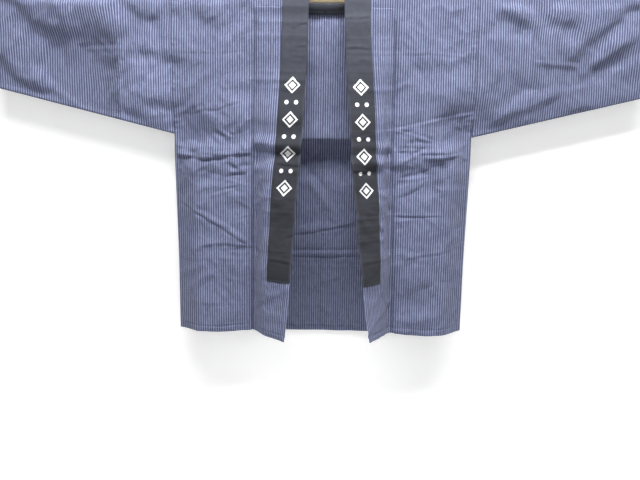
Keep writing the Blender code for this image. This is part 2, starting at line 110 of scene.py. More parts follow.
# The collar and the neck.
COLLAR_WIDTH = 0.052
COLLAR_HALF_PLY = 0.0018  # from the collar's middle surface to the middle of each ply
PLY_TURN = (60, 30, 0, -30, -60)  # the steps, in degrees, by which one ply turns to the other
COLLAR_HOLDS = 0.005  # the raw edge that the collar covers
COLLAR_PRESS = 0.010  # the collar lies flat on that edge, and its own creases begin past it
COLLAR_CREASES_BEGIN = (0.01, 0.07)  # the drops between which they take their depth
COLLAR_CRUMPLED = 0.40  # how deep its own crumples are, beside the body's
COLLAR_SEWN_REACH = 0.0025  # how near to its sewn edge the plies are drawn together
COLLAR_SEWN_DRAW = 0.0007
COLLAR_RISE_POWER = 1.6  # how late, on its way to the back, the collar turns upright
COLLAR_BACK_LEAN = 0.14  # how much it leans backwards there
COLLAR_END_ROW = 0.578  # the row whose drop is the collar's end
NECK_BACK_DROP = 0.0425
NECK_CURVE_START = 0.010  # how far over the rod the neck begins to curve
NECK_ROUNDNESS = 2.8  # 2 is an ellipse, and above it the curve is squarer
NECK_BACK_STEPS = 10

# Wear is above 0 where the cloth is rubbed or faded paler, and below 0 where it is darker.
# The same value also carries painted light and painted shade, each named as such below.
NECK_PAINTED_LIGHT = 1.55  # painted light: the collar drawn paler where it meets the rod, for the light its top catches
NECK_LIGHT_ENDS = 0.28  # the drop by which that has gone
NECK_BACK_PAINTED_LIGHT = 1.9  # painted light on the collar at the back of the neck, which lies in the rod's shadow
COLLAR_END_DARKER = 0.22  # how much darker the collar's end is drawn, below where it was folded
COLLAR_FOLDED = (0.520, 0.532)  # the drops on both sides of that fold
COLLAR_EDGE_REACH = 0.0022  # how far the rubbed line along the collar's fold reaches
RUBBED_REACH = 0.003  # and the line along a cuff, a sleeve's seam or a free edge
BACK_PAINTED_SHADE = 0.7  # painted shade: how much darker the lower back is drawn than the front, for the shade inside the coat
BACK_SHADE_FADES_IN = (0.44, 0.56)  # the drops between which that comes
BY_NECK_PAINTED_LIGHT = 4.2  # painted light on the back just under the collar, lifting the shadow the rod casts there
BY_NECK_REACH = 0.015
BY_NECK_OUT = 0.10
HEM_RUBBED = 1.2  # how pale the edge of a hem is
HEM_RUBBED_REACH = 0.0025
HEM_BAND_DARKER = 0.32  # how dark the turned-up cloth is above that edge
HEM_DARK_ENDS = 0.001  # how softly that ends at the stitches, to each side
STITCH_LINE_DARKER = 1.5  # how much darker, beside that, the cloth is along the stitches
VALLEY_PAINTED_SHADE = 1.3  # painted shade: how dark the groove at the okumi's seam is drawn
VALLEY_SHADE_REACH = 0.0024
# The sleeve leans at the right inset's seam; the step of tone there is painted.
INSET_PAINTED_STEP = 1.1  # painted light on the right inset, painted shade on the sleeve beside it
INSET_SHADE_REACH = 0.060
INSET_STEP_FADES_IN = (0.060, 0.130)  # the drops between which that comes

# The grids of the cloth, with points closer together beside creases, seams and hems.
GRID_STEP = 0.0042
ROW_STEP = 0.0023
FINE_STEP = 0.0015
FINE_REACH = 0.007
OKUMI_STEP = 0.0030  # across the okumi
MERGE_DISTANCE = 2e-5  # the points of two grids nearer than this are one
WALK_POINTS = 3000  # the places at which a grid's spacing is worked out
SHELL_CLAMP = 1.5  # keeps the thickness from passing through itself in tight folds
HEM_DEPTH = 0.0125  # from the hem up to its stitches


def table(columns, *rows):
    """A small table as one array for each named column."""
    return {
        name: np.array([row[i] for row in rows], float)
        for i, name in enumerate(columns.split())
    }


# How far the front hangs forward of the rod's axis, and the back behind it.
FALL = table(
    "drop front back",
    (0.010, 0.0112, 0.0112),
    (0.034, 0.0128, 0.0121),
    (0.100, 0.0158, 0.0138),
    (0.170, 0.0193, 0.0160),
    (0.250, 0.0265, 0.0215),
    (0.320, 0.0330, 0.0270),
    (0.420, 0.0395, 0.0320),
    (0.560, 0.0410, 0.0340),
    (0.710, 0.0420, 0.0345),
)

# The front edges swing forward. The okumi leaves its seam at one angle, and the collar goes
# on at another, both in degrees from the plane of the coat.
SWING = {
    RIGHT: table(
        "drop seam_out okumi_angle collar_angle",
        (0.010, 0.1370, 0, 0),
        (0.034, 0.1375, 0, 0),
        (0.130, 0.1398, 5, 0),
        (0.210, 0.1410, 24, 0),
        (0.300, 0.1420, 40, 3),
        (0.380, 0.1420, 56, 9),
        (0.450, 0.1418, 64, 13),
        (0.510, 0.1417, 69, 18),
        (0.585, 0.1416, 72, 27),
        (0.700, 0.1424, 62, 46),
    ),
    LEFT: table(
        "drop seam_out okumi_angle collar_angle",
        (0.010, 0.1385, 0, 0),
        (0.034, 0.1387, 7, 0),
        (0.130, 0.1412, 26, 0),
        (0.210, 0.1410, 50, 5),
        (0.300, 0.1402, 63, 15),
        (0.380, 0.1421, 69, 22),
        (0.450, 0.1447, 71, 31),
        (0.510, 0.1465, 71, 37),
        (0.585, 0.1482, 70, 46),
        (0.700, 0.1502, 68, 62),
    ),
}
SEAM_TURN = (0.0, 0.016)  # where the okumi takes its angle, along the cloth from its seam
COLLAR_TURN = (-0.024, -0.002)  # where it turns to the collar's, from the collar's edge
SWING_STEP = 0.001

# The front hem's drop, by the distance out.
FRONT_HEM = table(
    "out right left",
    (0.137, 0.6885, 0.6915),
    (0.160, 0.6898, 0.6928),
    (0.190, 0.6925, 0.6955),
    (0.215, 0.6937, 0.6975),
    (0.255, 0.6926, 0.6956),
    (0.300, 0.6962, 0.6962),
)
FRONT_EDGE_DROP = {RIGHT: 0.6890, LEFT: 0.6855}
LAP_HEIGHT = 0.0010  # how far the okumi's top lies over the cloth above it
TUCK_DEPTH = 0.0003  # how far it is tucked under that cloth beneath the collar
TUCK_REACH = 0.022
TUCK_STARTS = 0.004  # how near to the collar it goes under
TUCK_WHOLE = 0.001
OKUMI_PRESS = 0.006  # how near to its seam the okumi lies flat
NO_EDGE = 10  # stands for the distance to an edge where there is none
BACK_HEM = table("out drop", (0.0, 0.7130), (0.10, 0.7130), (0.20, 0.7085), (0.30, 0.6962))

# Folds and creases. Each runs from (x1, drop1) to (x2, drop2), with x2 the larger, and its
# middle sags by "bow". The cloth leans by "tilt" across it, over "width" to each side: it
# faces down where the tilt is positive, and up where it is negative. A fold comes back slowly,
# over a few times its width, and a crease at once.
CREASE_COLUMNS = "x1 drop1 x2 drop2 bow width tilt"


def creased(*lines):
    """A table without bows. A line is a width, a tilt and the places (x, drop) that it joins."""
    rows = [
        (*start, *end, 0, width, tilt)
        for width, tilt, *places in lines
        for start, end in zip(places, places[1:])
    ]
    return table(CREASE_COLUMNS, *rows)


LONGEST_FADE = 0.010  # how far a wide fold runs on past its ends
ENDS_NARROWER = 0.35  # how much narrower folds and creases are towards their ends
ENDS_WEAKER = 0.55  # and how much weaker
FOLD_HEIGHT = 0.88  # how high a fold rises, for its width and its tilt
FOLD_LEANS = 1.2  # how soon it takes its lean
FOLD_RETURNS = 0.3  # and how slowly it comes back
FOLDS_BEGIN = (0.010, 0.030)  # the drops between which all relief takes its depth
NECK_CALM = (0.050, 0.120)  # and those between which the back's crumples take theirs
FRONT_FOLDS = creased(
    # the right sleeve
    (0.02, 0.8, (-0.6319, 0.0007), (-0.6039, 0.0346), (-0.5833, 0.0612), (-0.5486, 0.0858)),
    (0.038, 0.74, (-0.5525, 0.0839), (-0.5052, 0.0929), (-0.3997, 0.0838)),
    (0.028, 0.42, (-0.5344, 0.1302), (-0.467, 0.1449), (-0.4014, 0.1558)),
    (0.013, 0.5, (-0.4798, 0.1686), (-0.4404, 0.2074), (-0.4047, 0.2346), (-0.3647, 0.2519)),
    (0.015, -0.42, (-0.5869, 0.1466), (-0.5363, 0.189), (-0.4771, 0.2316)),
    (0.0145, 0.72, (-0.6615, 0.1203), (-0.6162, 0.1783), (-0.5329, 0.2146)),
    (0.03, 0.36, (-0.5974, 0.0193), (-0.5233, 0.047), (-0.4367, 0.0592)),
    # the right inset
    (
        0.0125, 0.74, (-0.398, 0.0146), (-0.3808, 0.0412), (-0.3515, 0.0552), (-0.3276, 0.0491),
        (-0.3055, 0.0249),
    ),
    (0.014, 0.4, (-0.3865, 0.1165), (-0.3429, 0.1237), (-0.2793, 0.1365)),
    (0.016, 0.24, (-0.3613, 0.1474), (-0.3078, 0.1859)),
    (0.01, 0.4, (-0.3822, 0.2027), (-0.3482, 0.216), (-0.2921, 0.2271)),
    (0.02, -0.25, (-0.3485, 0.2457), (-0.2963, 0.251), (-0.2318, 0.2402)),
    # the right body
    (0.0165, 0.75, (-0.2522, 0.0261), (-0.2209, 0.064)),
    (0.008, 0.6, (-0.2071, 0.0715), (-0.1753, 0.0442), (-0.1536, 0.0133)),
    (0.013, -0.5, (-0.1794, 0.0827), (-0.1397, 0.036)),
    (0.03, 0.22, (-0.3272, 0.1411), (-0.2593, 0.1401)),
    (0.014, -0.42, (-0.3047, 0.2989), (-0.2158, 0.3037), (-0.1471, 0.3027)),
    (0.034, 0.24, (-0.2359, 0.272), (-0.1432, 0.2588)),
    (0.0085, 0.68, (-0.313, 0.3271), (-0.2684, 0.3264)),
    (0.0085, 0.64, (-0.2401, 0.3281), (-0.1956, 0.3234)),
    (0.0085, 0.6, (-0.1713, 0.3151), (-0.143, 0.3107)),
    (0.008, 0.3, (-0.2585, 0.5136), (-0.143, 0.5098)),
    (0.016, 0.22, (-0.2616, 0.708), (-0.1517, 0.6494)),
    # the left body
    (0.02, -0.2, (0.1458, 0.0706), (0.2084, 0.0466)),
    (0.02, 0.22, (0.1715, 0.1323), (0.2475, 0.1391)),
    (0.048, 0.2, (0.1507, 0.2508), (0.235, 0.2417), (0.2986, 0.221)),
    (0.012, -0.38, (0.1486, 0.3267), (0.2047, 0.3078), (0.2731, 0.2989)),
    (0.013, -0.45, (0.2491, 0.3072), (0.3029, 0.2845)),
    (0.0165, 0.95, (0.1327, 0.341), (0.1815, 0.3444), (0.2256, 0.3297), (0.2575, 0.3171)),
    (0.011, 0.36, (0.1505, 0.3996), (0.2309, 0.366)),
    (0.02, 0.36, (0.1718, 0.6121), (0.2392, 0.5788)),
    (0.014, -0.4, (0.163, 0.6622), (0.2379, 0.6481)),
    (0.016, 0.2, (0.1485, 0.1639), (0.2551, 0.1272)),
    # the left inset
    (0.0125, -0.8, (0.3525, 0.0026), (0.4152, 0.0323)),
    (0.0125, 0.66, (0.346, 0.0294), (0.3747, 0.0501), (0.4148, 0.0611)),
    (0.012, -0.22, (0.3485, 0.0813), (0.4124, 0.0882)),
    (
        0.011, 0.36, (0.2389, 0.2396), (0.2865, 0.2192), (0.3198, 0.197), (0.3487, 0.169),
        (0.3652, 0.1375),
    ),
    (0.009, -0.38, (0.3271, 0.2305), (0.4029, 0.2176)),
    (0.01, 0.32, (0.3442, 0.256), (0.3797, 0.2397), (0.4074, 0.2294)),
    (0.018, -0.25, (0.2587, 0.2294), (0.3154, 0.2406)),
    # the left sleeve
    (0.0105, -0.75, (0.4436, 0.009), (0.4992, 0.0159)),
    (0.0125, 0.6, (0.4353, 0.0378), (0.4659, 0.0547), (0.4995, 0.0542)),
    (0.01, 0.24, (0.4434, 0.0762), (0.5153, 0.0829)),
    (0.0175, 0.72, (0.4945, 0.1318), (0.5182, 0.0964), (0.5536, 0.0631), (0.6236, -0.0048)),
    (0.008, -0.45, (0.5272, 0.1431), (0.5563, 0.1017), (0.5973, 0.0644)),
    (0.014, 0.56, (0.5123, 0.1609), (0.562, 0.127), (0.6298, 0.0756)),
    (0.013, -0.42, (0.5492, 0.1742), (0.5908, 0.1402), (0.6329, 0.1162)),
    (0.01, 0.42, (0.4034, 0.2294), (0.4429, 0.2131), (0.4781, 0.1948)),
    (0.015, -0.36, (0.3645, 0.2122), (0.4418, 0.1894), (0.5369, 0.1704)),
    (0.016, -0.2, (0.4749, 0.2106), (0.554, 0.1898), (0.6369, 0.169)),
    (0.008, 0.5, (0.4269, 0.1356), (0.463, 0.1381), (0.5151, 0.1413)),
)
FRONT_CREASES = creased(
    # the right sleeve and inset
    (0.0034, -0.5, (-0.504, 0.1154), (-0.4521, 0.1128), (-0.4023, 0.1098)),
    (0.0036, -0.55, (-0.4979, 0.1122), (-0.4461, 0.1105), (-0.4022, 0.1061)),
    (0.004, 0.35, (-0.4897, 0.1063), (-0.4041, 0.1012)),
    (0.003, 0.6, (-0.4424, 0.1196), (-0.4045, 0.1187)),
    (0.004, 0.26, (-0.3985, 0.1186), (-0.305, 0.1213)),
    (0.004, 0.55, (-0.3627, 0.2509), (-0.3325, 0.2465), (-0.3002, 0.2451)),
    # the right body, under the shoulder and beside the armpit
    (0.004, 0.26, (-0.3029, 0.1183), (-0.2193, 0.1201), (-0.1496, 0.1133)),
    (0.004, 0.45, (-0.2801, 0.2369), (-0.262, 0.2426)),
    (
        0.004, 0.75, (-0.262, 0.2386), (-0.2418, 0.2316), (-0.2117, 0.2308), (-0.1956, 0.2228),
        (-0.1635, 0.2135),
    ),
    (0.0042, -0.3, (-0.2398, 0.2224), (-0.1996, 0.216)),
    (0.004, 0.45, (-0.2198, 0.2718), (-0.1936, 0.2854)),
    (0.0036, 0.5, (-0.1956, 0.2714), (-0.1693, 0.285)),
    (0.004, 0.65, (-0.1855, 0.3072), (-0.1673, 0.287)),
    (0.0036, 0.6, (-0.3045, 0.2749), (-0.2763, 0.2815)),
    (0.004, 0.8, (-0.3027, 0.3099), (-0.2784, 0.3095)),
    (0.007, -0.45, (-0.2804, 0.2966), (-0.2481, 0.3021)),
    (0.0036, -0.4, (-0.2481, 0.3041), (-0.2158, 0.3017)),
    # the right body at the waist
    (0.0055, 1.37, (-0.3089, 0.327), (-0.2604, 0.3273)),
    (0.0042, 1.23, (-0.2543, 0.3293), (-0.2219, 0.3284), (-0.1875, 0.3213), (-0.143, 0.3177)),
    (0.004, -0.78, (-0.2259, 0.3172), (-0.1855, 0.3128)),
    (0.0036, -0.59, (-0.2523, 0.3357), (-0.1834, 0.3323)),
    (0.0042, 0.98, (-0.1915, 0.3354), (-0.1672, 0.3503)),
    (0.0046, 1.23, (-0.1896, 0.3587), (-0.1571, 0.3572)),
    (0.006, -0.91, (-0.1713, 0.3473), (-0.149, 0.345)),
    (0.0036, -0.59, (-0.2018, 0.3659), (-0.151, 0.3804)),
    (0.004, -0.52, (-0.2365, 0.4061), (-0.155, 0.3795)),
    (0.004, 0.59, (-0.1957, 0.3872), (-0.1632, 0.3837)),
    # the right body's long diagonal and the fold below it
    (
        0.0034, 0.98, (-0.2958, 0.4192), (-0.2695, 0.4322), (-0.2391, 0.4494), (-0.1983, 0.4749),
        (-0.1758, 0.4903), (-0.1471, 0.5067),
    ),
    (
        0.0026, -0.52, (-0.2939, 0.4253), (-0.2655, 0.4394), (-0.2371, 0.4557),
        (-0.1963, 0.4812), (-0.1718, 0.4976),
    ),
    (0.006, -0.55, (-0.2511, 0.434), (-0.1962, 0.4645), (-0.1553, 0.4932)),
    (0.0045, 0.6, (-0.2461, 0.5103), (-0.2192, 0.5046), (-0.1924, 0.5049), (-0.143, 0.5109)),
    (0.0045, -0.52, (-0.1884, 0.5189), (-0.1533, 0.5195)),
    (0.005, 0.29, (-0.3004, 0.5439), (-0.2216, 0.5364), (-0.1493, 0.5396)),
    (0.005, 0.21, (-0.2938, 0.6318), (-0.1496, 0.6341)),
    # the left body, under the shoulder
    (0.004, 0.34, (0.1432, 0.119), (0.2108, 0.1162), (0.2828, 0.123)),
    (0.0036, -0.81, (0.135, 0.2679), (0.1731, 0.2592), (0.247, 0.2415), (0.3069, 0.2298)),
    (0.004, 0.45, (0.1392, 0.2758), (0.1793, 0.2663)),
    (0.0036, -0.68, (0.1531, 0.2686), (0.1775, 0.2737), (0.2243, 0.2886)),
    (0.004, 0.42, (0.1777, 0.2812), (0.2184, 0.2927)),
    (0.003, 0.33, (0.1475, 0.2866), (0.2081, 0.2878)),
    (0.0034, -0.45, (0.1559, 0.2959), (0.2366, 0.2934)),
    (0.0034, 0.45, (0.15, 0.3026), (0.2308, 0.3015)),
    # the left body at the waist
    (0.0042, 0.78, (0.1421, 0.3111), (0.2007, 0.3089)),
    (0.0045, -0.98, (0.1547, 0.3276), (0.1787, 0.3202), (0.2086, 0.3048)),
    (0.0034, 1.04, (0.1988, 0.3135), (0.2513, 0.3118)),
    (0.003, -1.3, (0.205, 0.3193), (0.2818, 0.3168)),
    (0.0036, 1.23, (0.2133, 0.3272), (0.2496, 0.3229), (0.2798, 0.3184)),
    (0.006, 0.55, (0.1636, 0.3588), (0.1959, 0.3517), (0.2199, 0.3408), (0.2397, 0.3284)),
    (0.0036, -0.72, (0.1537, 0.3664), (0.2245, 0.3569)),
    (0.006, 0.52, (0.1506, 0.4037), (0.1789, 0.3941), (0.2068, 0.3744)),
    (0.003, 1.1, (0.1374, 0.4414), (0.2479, 0.4409)),
    (0.005, -0.59, (0.1439, 0.4507), (0.1826, 0.4466)),
    (0.0048, 0.39, (0.1588, 0.533), (0.2941, 0.5099)),
    # the left inset and sleeve
    (0.004, 0.55, (0.2758, 0.3185), (0.3006, 0.3326)),
    (0.004, 0.22, (0.3107, 0.1226), (0.4063, 0.1232)),
    (0.0034, -0.7, (0.4164, 0.1256), (0.4545, 0.129), (0.5166, 0.1334)),
    (0.0034, -0.45, (0.311, 0.2297), (0.3354, 0.2383), (0.3677, 0.2418)),
    (0.006, 0.3, (0.4728, 0.1693), (0.505, 0.1728), (0.5284, 0.1626)),
)
# The back's outer face. Its inside, which shows in the front opening, faces the other way.
BACK_FOLDS = table(
    CREASE_COLUMNS,
    (-0.1, 0.08, 0.1, 0.08, 0, 0.04, 0.32),
    (-0.1, 0.052, 0.1, 0.052, 0, 0.01, 0.6),
    (-0.15, 0.312, 0.15, 0.312, -0.008, 0.019, -1.5),
    (-0.15, 0.338, 0.15, 0.338, -0.006, 0.016, -0.75),
    (-0.15, 0.6, 0.15, 0.6, 0, 0.06, -0.26),
    (-0.06, 0.375, 0.06, 0.385, 0, 0.018, 0.3),
    (-0.29, 0.326, -0.15, 0.322, 0, 0.012, 0.7),
    (0.15, 0.322, 0.29, 0.328, 0, 0.012, 0.7),
    (-0.64, 0.01, -0.45, 0.11, 0, 0.018, 0.6),
    (0.45, 0.12, 0.64, 0.01, 0, 0.018, 0.6),
    (-0.3, 0.17, -0.18, 0.27, 0.006, 0.016, 0.4),
    (0.17, 0.285, 0.3, 0.19, 0.004, 0.016, 0.4),
    (-0.27, 0.44, -0.12, 0.52, 0, 0.012, 0.3),
    (0.34, 0.205, 0.56, 0.12, 0.004, 0.014, 0.36),
    (-0.56, 0.15, -0.35, 0.22, 0.004, 0.014, 0.36),
    (0.15, 0.46, 0.28, 0.5, 0.004, 0.018, 0.26),
)
BACK_CREASES = table(
    CREASE_COLUMNS,
    (-0.0684, 0.2947, 0.0836, 0.2925, 0, 0.006, -0.75),
    (-0.0682, 0.3468, 0.085, 0.3446, -0.01, 0.006, 0.45),
    (-0.0409, 0.3517, 0.0345, 0.4496, 0, 0.011, 0.65),
    (-0.047, 0.3709, -0.0008, 0.3639, 0, 0.005, -0.4),
    (-0.0653, 0.4964, -0.0033, 0.4872, 0, 0.0042, -1),
    (-0.0033, 0.4872, 0.0606, 0.4731, 0, 0.0042, -1),
    (-0.0632, 0.4837, 0.0178, 0.4694, 0, 0.008, 0.4),
    (-0.0715, 0.5327, 0.0876, 0.5304, 0, 0.0042, 0.95),
    (-0.0715, 0.5429, 0.0879, 0.5406, 0, 0.005, -0.95),
    (-0.0563, 0.5609, 0.0755, 0.5635, 0, 0.006, 0.3),
    (-0.0233, 0.6097, 0.0631, 0.5882, 0, 0.006, -0.25),
    (-0.286, 0.533, -0.09, 0.533, 0, 0.004, 0.5),
    (0.1, 0.533, 0.286, 0.531, 0, 0.004, 0.5),
    (0.06, 0.43, 0.18, 0.418, 0, 0.004, 0.35),
    (-0.22, 0.24, -0.12, 0.225, 0.003, 0.0045, 0.45),
    (0.1, 0.258, 0.23, 0.25, 0.002, 0.0045, 0.4),
    (-0.25, 0.62, -0.08, 0.624, 0, 0.005, 0.25),
)
# Creases across an okumi and the collar beside it, right over both, by their drops.
EDGE_CREASES = {
    RIGHT: table(
        "drop slope width tilt",
        (0.303, 0.04, 0.0150, 1.00),
        (0.342, -0.20, 0.0130, -0.40),
        (0.400, 0.20, 0.0080, 0.16),
        (0.515, 0.00, 0.0080, 0.12),
        (0.529, 0.00, 0.0036, 0.10),
        (0.640, -0.50, 0.0100, 0.24),
    ),
    LEFT: table(
        "drop slope width tilt",
        (0.307, -0.04, 0.0120, 0.72),
        (0.344, 0.20, 0.0130, -0.20),
        (0.405, -0.20, 0.0080, 0.16),
        (0.529, 0.00, 0.0036, 0.22),
        (0.630, 0.40, 0.0100, 0.20),
    ),
}
# The collar's own creases, with x as the distance from its sewn edge.
COLLAR_CREASES = {
    RIGHT: creased(
        (0.003, 0.55, (0.019, 0.065), (0.027, 0.073)),
        (0.003, 0.65, (0.022, 0.072), (0.034, 0.062), (0.052, 0.06)),
        (0.003, 0.3, (0.016, 0.063), (0.021, 0.068)),
        (0.0032, 0.55, (0.03, 0.106), (0.052, 0.104)),
        (0.0036, -0.35, (0.023, 0.128), (0.044, 0.132)),
        (0.004, 0.25, (-0.003, 0.19), (0.026, 0.194)),
        (0.0045, 0.3, (0.016, 0.257), (0.052, 0.255)),
        (0.0042, 0.9, (-0.003, 0.333), (0.055, 0.339)),
        (0.0036, -0.3, (-0.003, 0.4), (0.052, 0.408)),
        (0.005, -0.3, (0, 0.476), (0.029, 0.437)),
        (0.0045, 0.65, (0.036, 0.48), (0.055, 0.472)),
        (0.0045, -0.45, (0.026, 0.515), (0.055, 0.509)),
        (0.005, 0.5, (-0.003, 0.525), (0.055, 0.531)),
    ),
    LEFT: creased(
        (0.0032, 0.65, (0.002, 0.045), (0.024, 0.05)),
        (0.0032, 0.65, (0.028, 0.047), (0.053, 0.052)),
        (0.0036, -0.35, (0.003, 0.051), (0.024, 0.056)),
        (0.0034, 0.6, (0.001, 0.11), (0.027, 0.106), (0.052, 0.107)),
        (0.0036, -0.35, (0.021, 0.099), (0.036, 0.103)),
        (0.004, 0.22, (0.003, 0.134), (0.026, 0.13)),
        (0.0034, -0.6, (0.001, 0.269), (0.044, 0.282)),
        (0.0045, 0.35, (0, 0.278), (0.047, 0.289)),
        (0.0042, 0.6, (0.01, 0.351), (0.052, 0.345)),
        (0.0036, -0.3, (0.005, 0.343), (0.044, 0.341)),
        (0.0045, 0.35, (0.005, 0.433), (0.036, 0.428)),
        (0.0045, -0.4, (-0.003, 0.513), (0.055, 0.508)),
        (0.005, 0.45, (-0.003, 0.527), (0.055, 0.525)),
    ),
}
# Where drape makes the stripes lean: by "shift" metres sideways for each metre down.
LEANS = table(
    "x drop reach_x reach_drop shift",
    (-0.450, 0.050, 0.045, 0.050, 0.16),
    (-0.520, 0.080, 0.050, 0.050, 0.12),
    (-0.440, 0.165, 0.040, 0.050, 0.10),
    (0.470, 0.060, 0.050, 0.045, -0.16),
    (0.560, 0.080, 0.060, 0.060, -0.10),
    (0.350, 0.200, 0.050, 0.050, -0.08),
    (-0.350, 0.060, 0.040, 0.040, -0.05),
)
CRUMPLES = table(
    "size height sharp turn",
    (0.064, 0.0036, 0, 20),
    (0.038, 0.0040, 1, -38),
    (0.022, 0.0021, 1, 47),
    (0.012, 0.0009, 1, -15),
)
CRUMPLE_CELLS = 64
CRUMPLE_LONG = 0.75  # below 1 the wrinkles are longer along their own direction than across it
CRUMPLE_BEND = 0.010  # how far they wander from it
CRUMPLE_BEND_SIZE = 0.05  # and over what length
RIDGE_MEAN = 0.35  # the sharp ones are ridges, about as much above the cloth as below
RIDGE_ROUNDING = 0.004
BEND_SEEDS = (7, 8)  # each is added to the cloth's own seed
FRONT_SEED = 11
BACK_SEED = 23
EDGE_SEED = 31
COLLAR_SEED = 61
# How crumpled the cloth is, down the coat and down its front edges.
CRUMPLED = table(
    "drop body edge",
    (0.000, 0.80, 0.12),
    (0.200, 0.75, 0.14),
    (0.270, 0.85, 0.30),
    (0.330, 1.00, 0.80),
    (0.400, 0.95, 0.70),
    (0.500, 0.80, 0.55),
    (0.700, 0.80, 0.45),
)
# The most crumpled places.
CRUMPLED_MORE = table(
    "x drop reach_x reach_drop gain",
    (-0.220, 0.300, 0.100, 0.060, 1.0),
    (0.200, 0.340, 0.110, 0.040, 0.5),
)
PUCKER_LENGTH = 0.011
PUCKER_SWELL = 7.3 * PUCKER_LENGTH  # from one stretch of deep puckers to the next
PUCKER_EVEN = 0.6  # 1 is without such stretches
PUCKER_HEIGHT = 0.00060
SEAM_DIP = 0.0005  # how deep a seam lies
SEAM_DIP_REACH = 0.0020
VALLEY_DEPTH = 0.0054  # the groove in which the okumi leaves the body
VALLEY_REACH = 0.0056
ALLOWANCE = 0.010  # the seam allowance, pressed to one side and felt through the cloth
ALLOWANCE_HEIGHT = 0.00035
ALLOWANCE_STARTS = (0.001, 0.003)  # the distances from the seam over which it rises
ALLOWANCE_ENDS = (ALLOWANCE, ALLOWANCE + 0.002)  # and goes
HEM_PUFF = 0.0008  # how high the rolled hem stands
HEM_DIMPLE = 1.1  # how deep its stitches lie, beside that
HEM_STITCH_REACH = 0.0016
LOZENGE_SLIM = 0.98  # the width of a lozenge on the collar, beside its height
LOZENGE_LINE = 0.14  # half the thickness of its outline, as a share of its own half width
LOZENGE_CORE = 0.45  # the same for the lozenge inside it
DOTS_APART = 0.019
DOT_RADIUS = 0.0042
MOTIF_CELLS = 7  # lozenges and pairs of dots, in turn
MOTIF_BLUR = 0.0012  # how far the weave moves their edges
STRIPE_WANDER = 0.0009  # how far a stripe wanders sideways
STRIPE_SOFT = 0.25  # how soft its edges are, as a share of its half width
TWIST_SLANT = 1.1  # how steeply the plies of the pale yarn cross it
NECK_THREAD = 1.9  # how much larger those stitches are than the hem's
NECK_STITCH_UP = 0.0055  # from the collar's sewn edge to the stitches that hold its inner ply
NECK_STITCH_OFF = 0.0006  # and from the middle of that ply
STITCHES_START = 0.002  # how far a line of stitches stays from the middle seam or the okumi
STITCHES_STOP = 0.004  # and from the side or underarm seam
CUFF_STITCHES_TOP = 0.014
FRONT_LINE_POINTS = 60  # the points through which such a line runs
BACK_LINE_POINTS = 90
STITCH_SIDES = 6
STITCH_FLAT = 0.4  # the share of a stitch, to each side of its middle, that lies on the cloth
STITCH_DIVES = 0.6  # how far its ends go under, in thicknesses of the thread
STITCH_RAISED = 0.15  # and how far its middle stands out
FORWARDS = (0, -1, 0)
BACKWARDS = (0, 1, 0)

# A point of a grid has its place, its cloth coordinates, and its wear with painted light.
PLACE = slice(0, 3)
ACROSS, DOWN, WEAR_AND_PAINTED_LIGHT = 3, 4, 5


def read(rows, column, at, by="drop"):
    """A column of a table read at places between its rows, with a smooth curve through them."""
    places = rows[by]
    values = rows[column]
    at = np.clip(at, places[0], places[-1])
    slopes = np.gradient(values, places)
    i = np.clip(np.searchsorted(places, at, side="right"), 1, len(places) - 1) - 1
    span = places[i + 1] - places[i]
    t = (at - places[i]) / span
    start = values[i] * (1 + 2 * t) * (1 - t) ** 2 + slopes[i] * span * t * (1 - t) ** 2
    end = values[i + 1] * t * t * (3 - 2 * t) + slopes[i + 1] * span * t * t * (t - 1)
    return start + end


def eased(value, low, high):
    """0 below low, 1 above high, and a soft step between them."""
    t = np.clip((value - low) / (high - low), 0.0, 1.0)
    return t * t * (3 - 2 * t)


def near(distance, reach):
    """1 at no distance, falling softly to 0 over a few times the reach."""
    return np.exp(-((distance / reach) ** 2))


def near_place(x, drop, at_x, at_drop, reach_x, reach_drop):
    """The same round a place on the coat, with a reach of its own each way."""
    return np.exp(-(((x - at_x) / reach_x) ** 2 + ((drop - at_drop) / reach_drop) ** 2))


def wave(place, length):
    """A wave of a length, from -1 to 1."""
    return np.sin(2 * math.pi * place / length)


def spread(start, end, shares):
    """Places at some shares of the way from start to end."""
    return start + (end - start) * shares


def spaced(start, end, beside=(), step=GRID_STEP, fine=FINE_STEP):
    """Places from start to end, a step apart, and closer together beside some of them."""
    walk = np.linspace(start, end, WALK_POINTS)
    density = np.full_like(walk, 1 / step)
    for place in beside:
        density = np.maximum(density, spread(1 / step, 1 / fine, near(walk - place, FINE_REACH)))
    count = np.cumsum((density[1:] + density[:-1]) / 2 * np.diff(walk))
    count = np.concatenate(([0.0], count))
    steps = max(1, round(float(count[-1])))
    return np.interp(np.linspace(0.0, count[-1], steps + 1), count, walk)


def crumple(x, drop, size, seed):
    """Smooth lumps from -1 to 1, of about the given size."""
    lattice = np.random.default_rng(seed).uniform(-1, 1, (CRUMPLE_CELLS, CRUMPLE_CELLS))
    across = np.asarray(x) / size + seed
    down = np.asarray(drop) / size
    i = np.floor(across).astype(int)
    j = np.floor(down).astype(int)
    s = eased(across - i, 0, 1)
    t = eased(down - j, 0, 1)

    def corner(a, b):
        return lattice[(i + a) % CRUMPLE_CELLS, (j + b) % CRUMPLE_CELLS]

    upper = corner(0, 0) * (1 - s) + corner(1, 0) * s
    lower = corner(0, 1) * (1 - s) + corner(1, 1) * s
    return upper * (1 - t) + lower * t


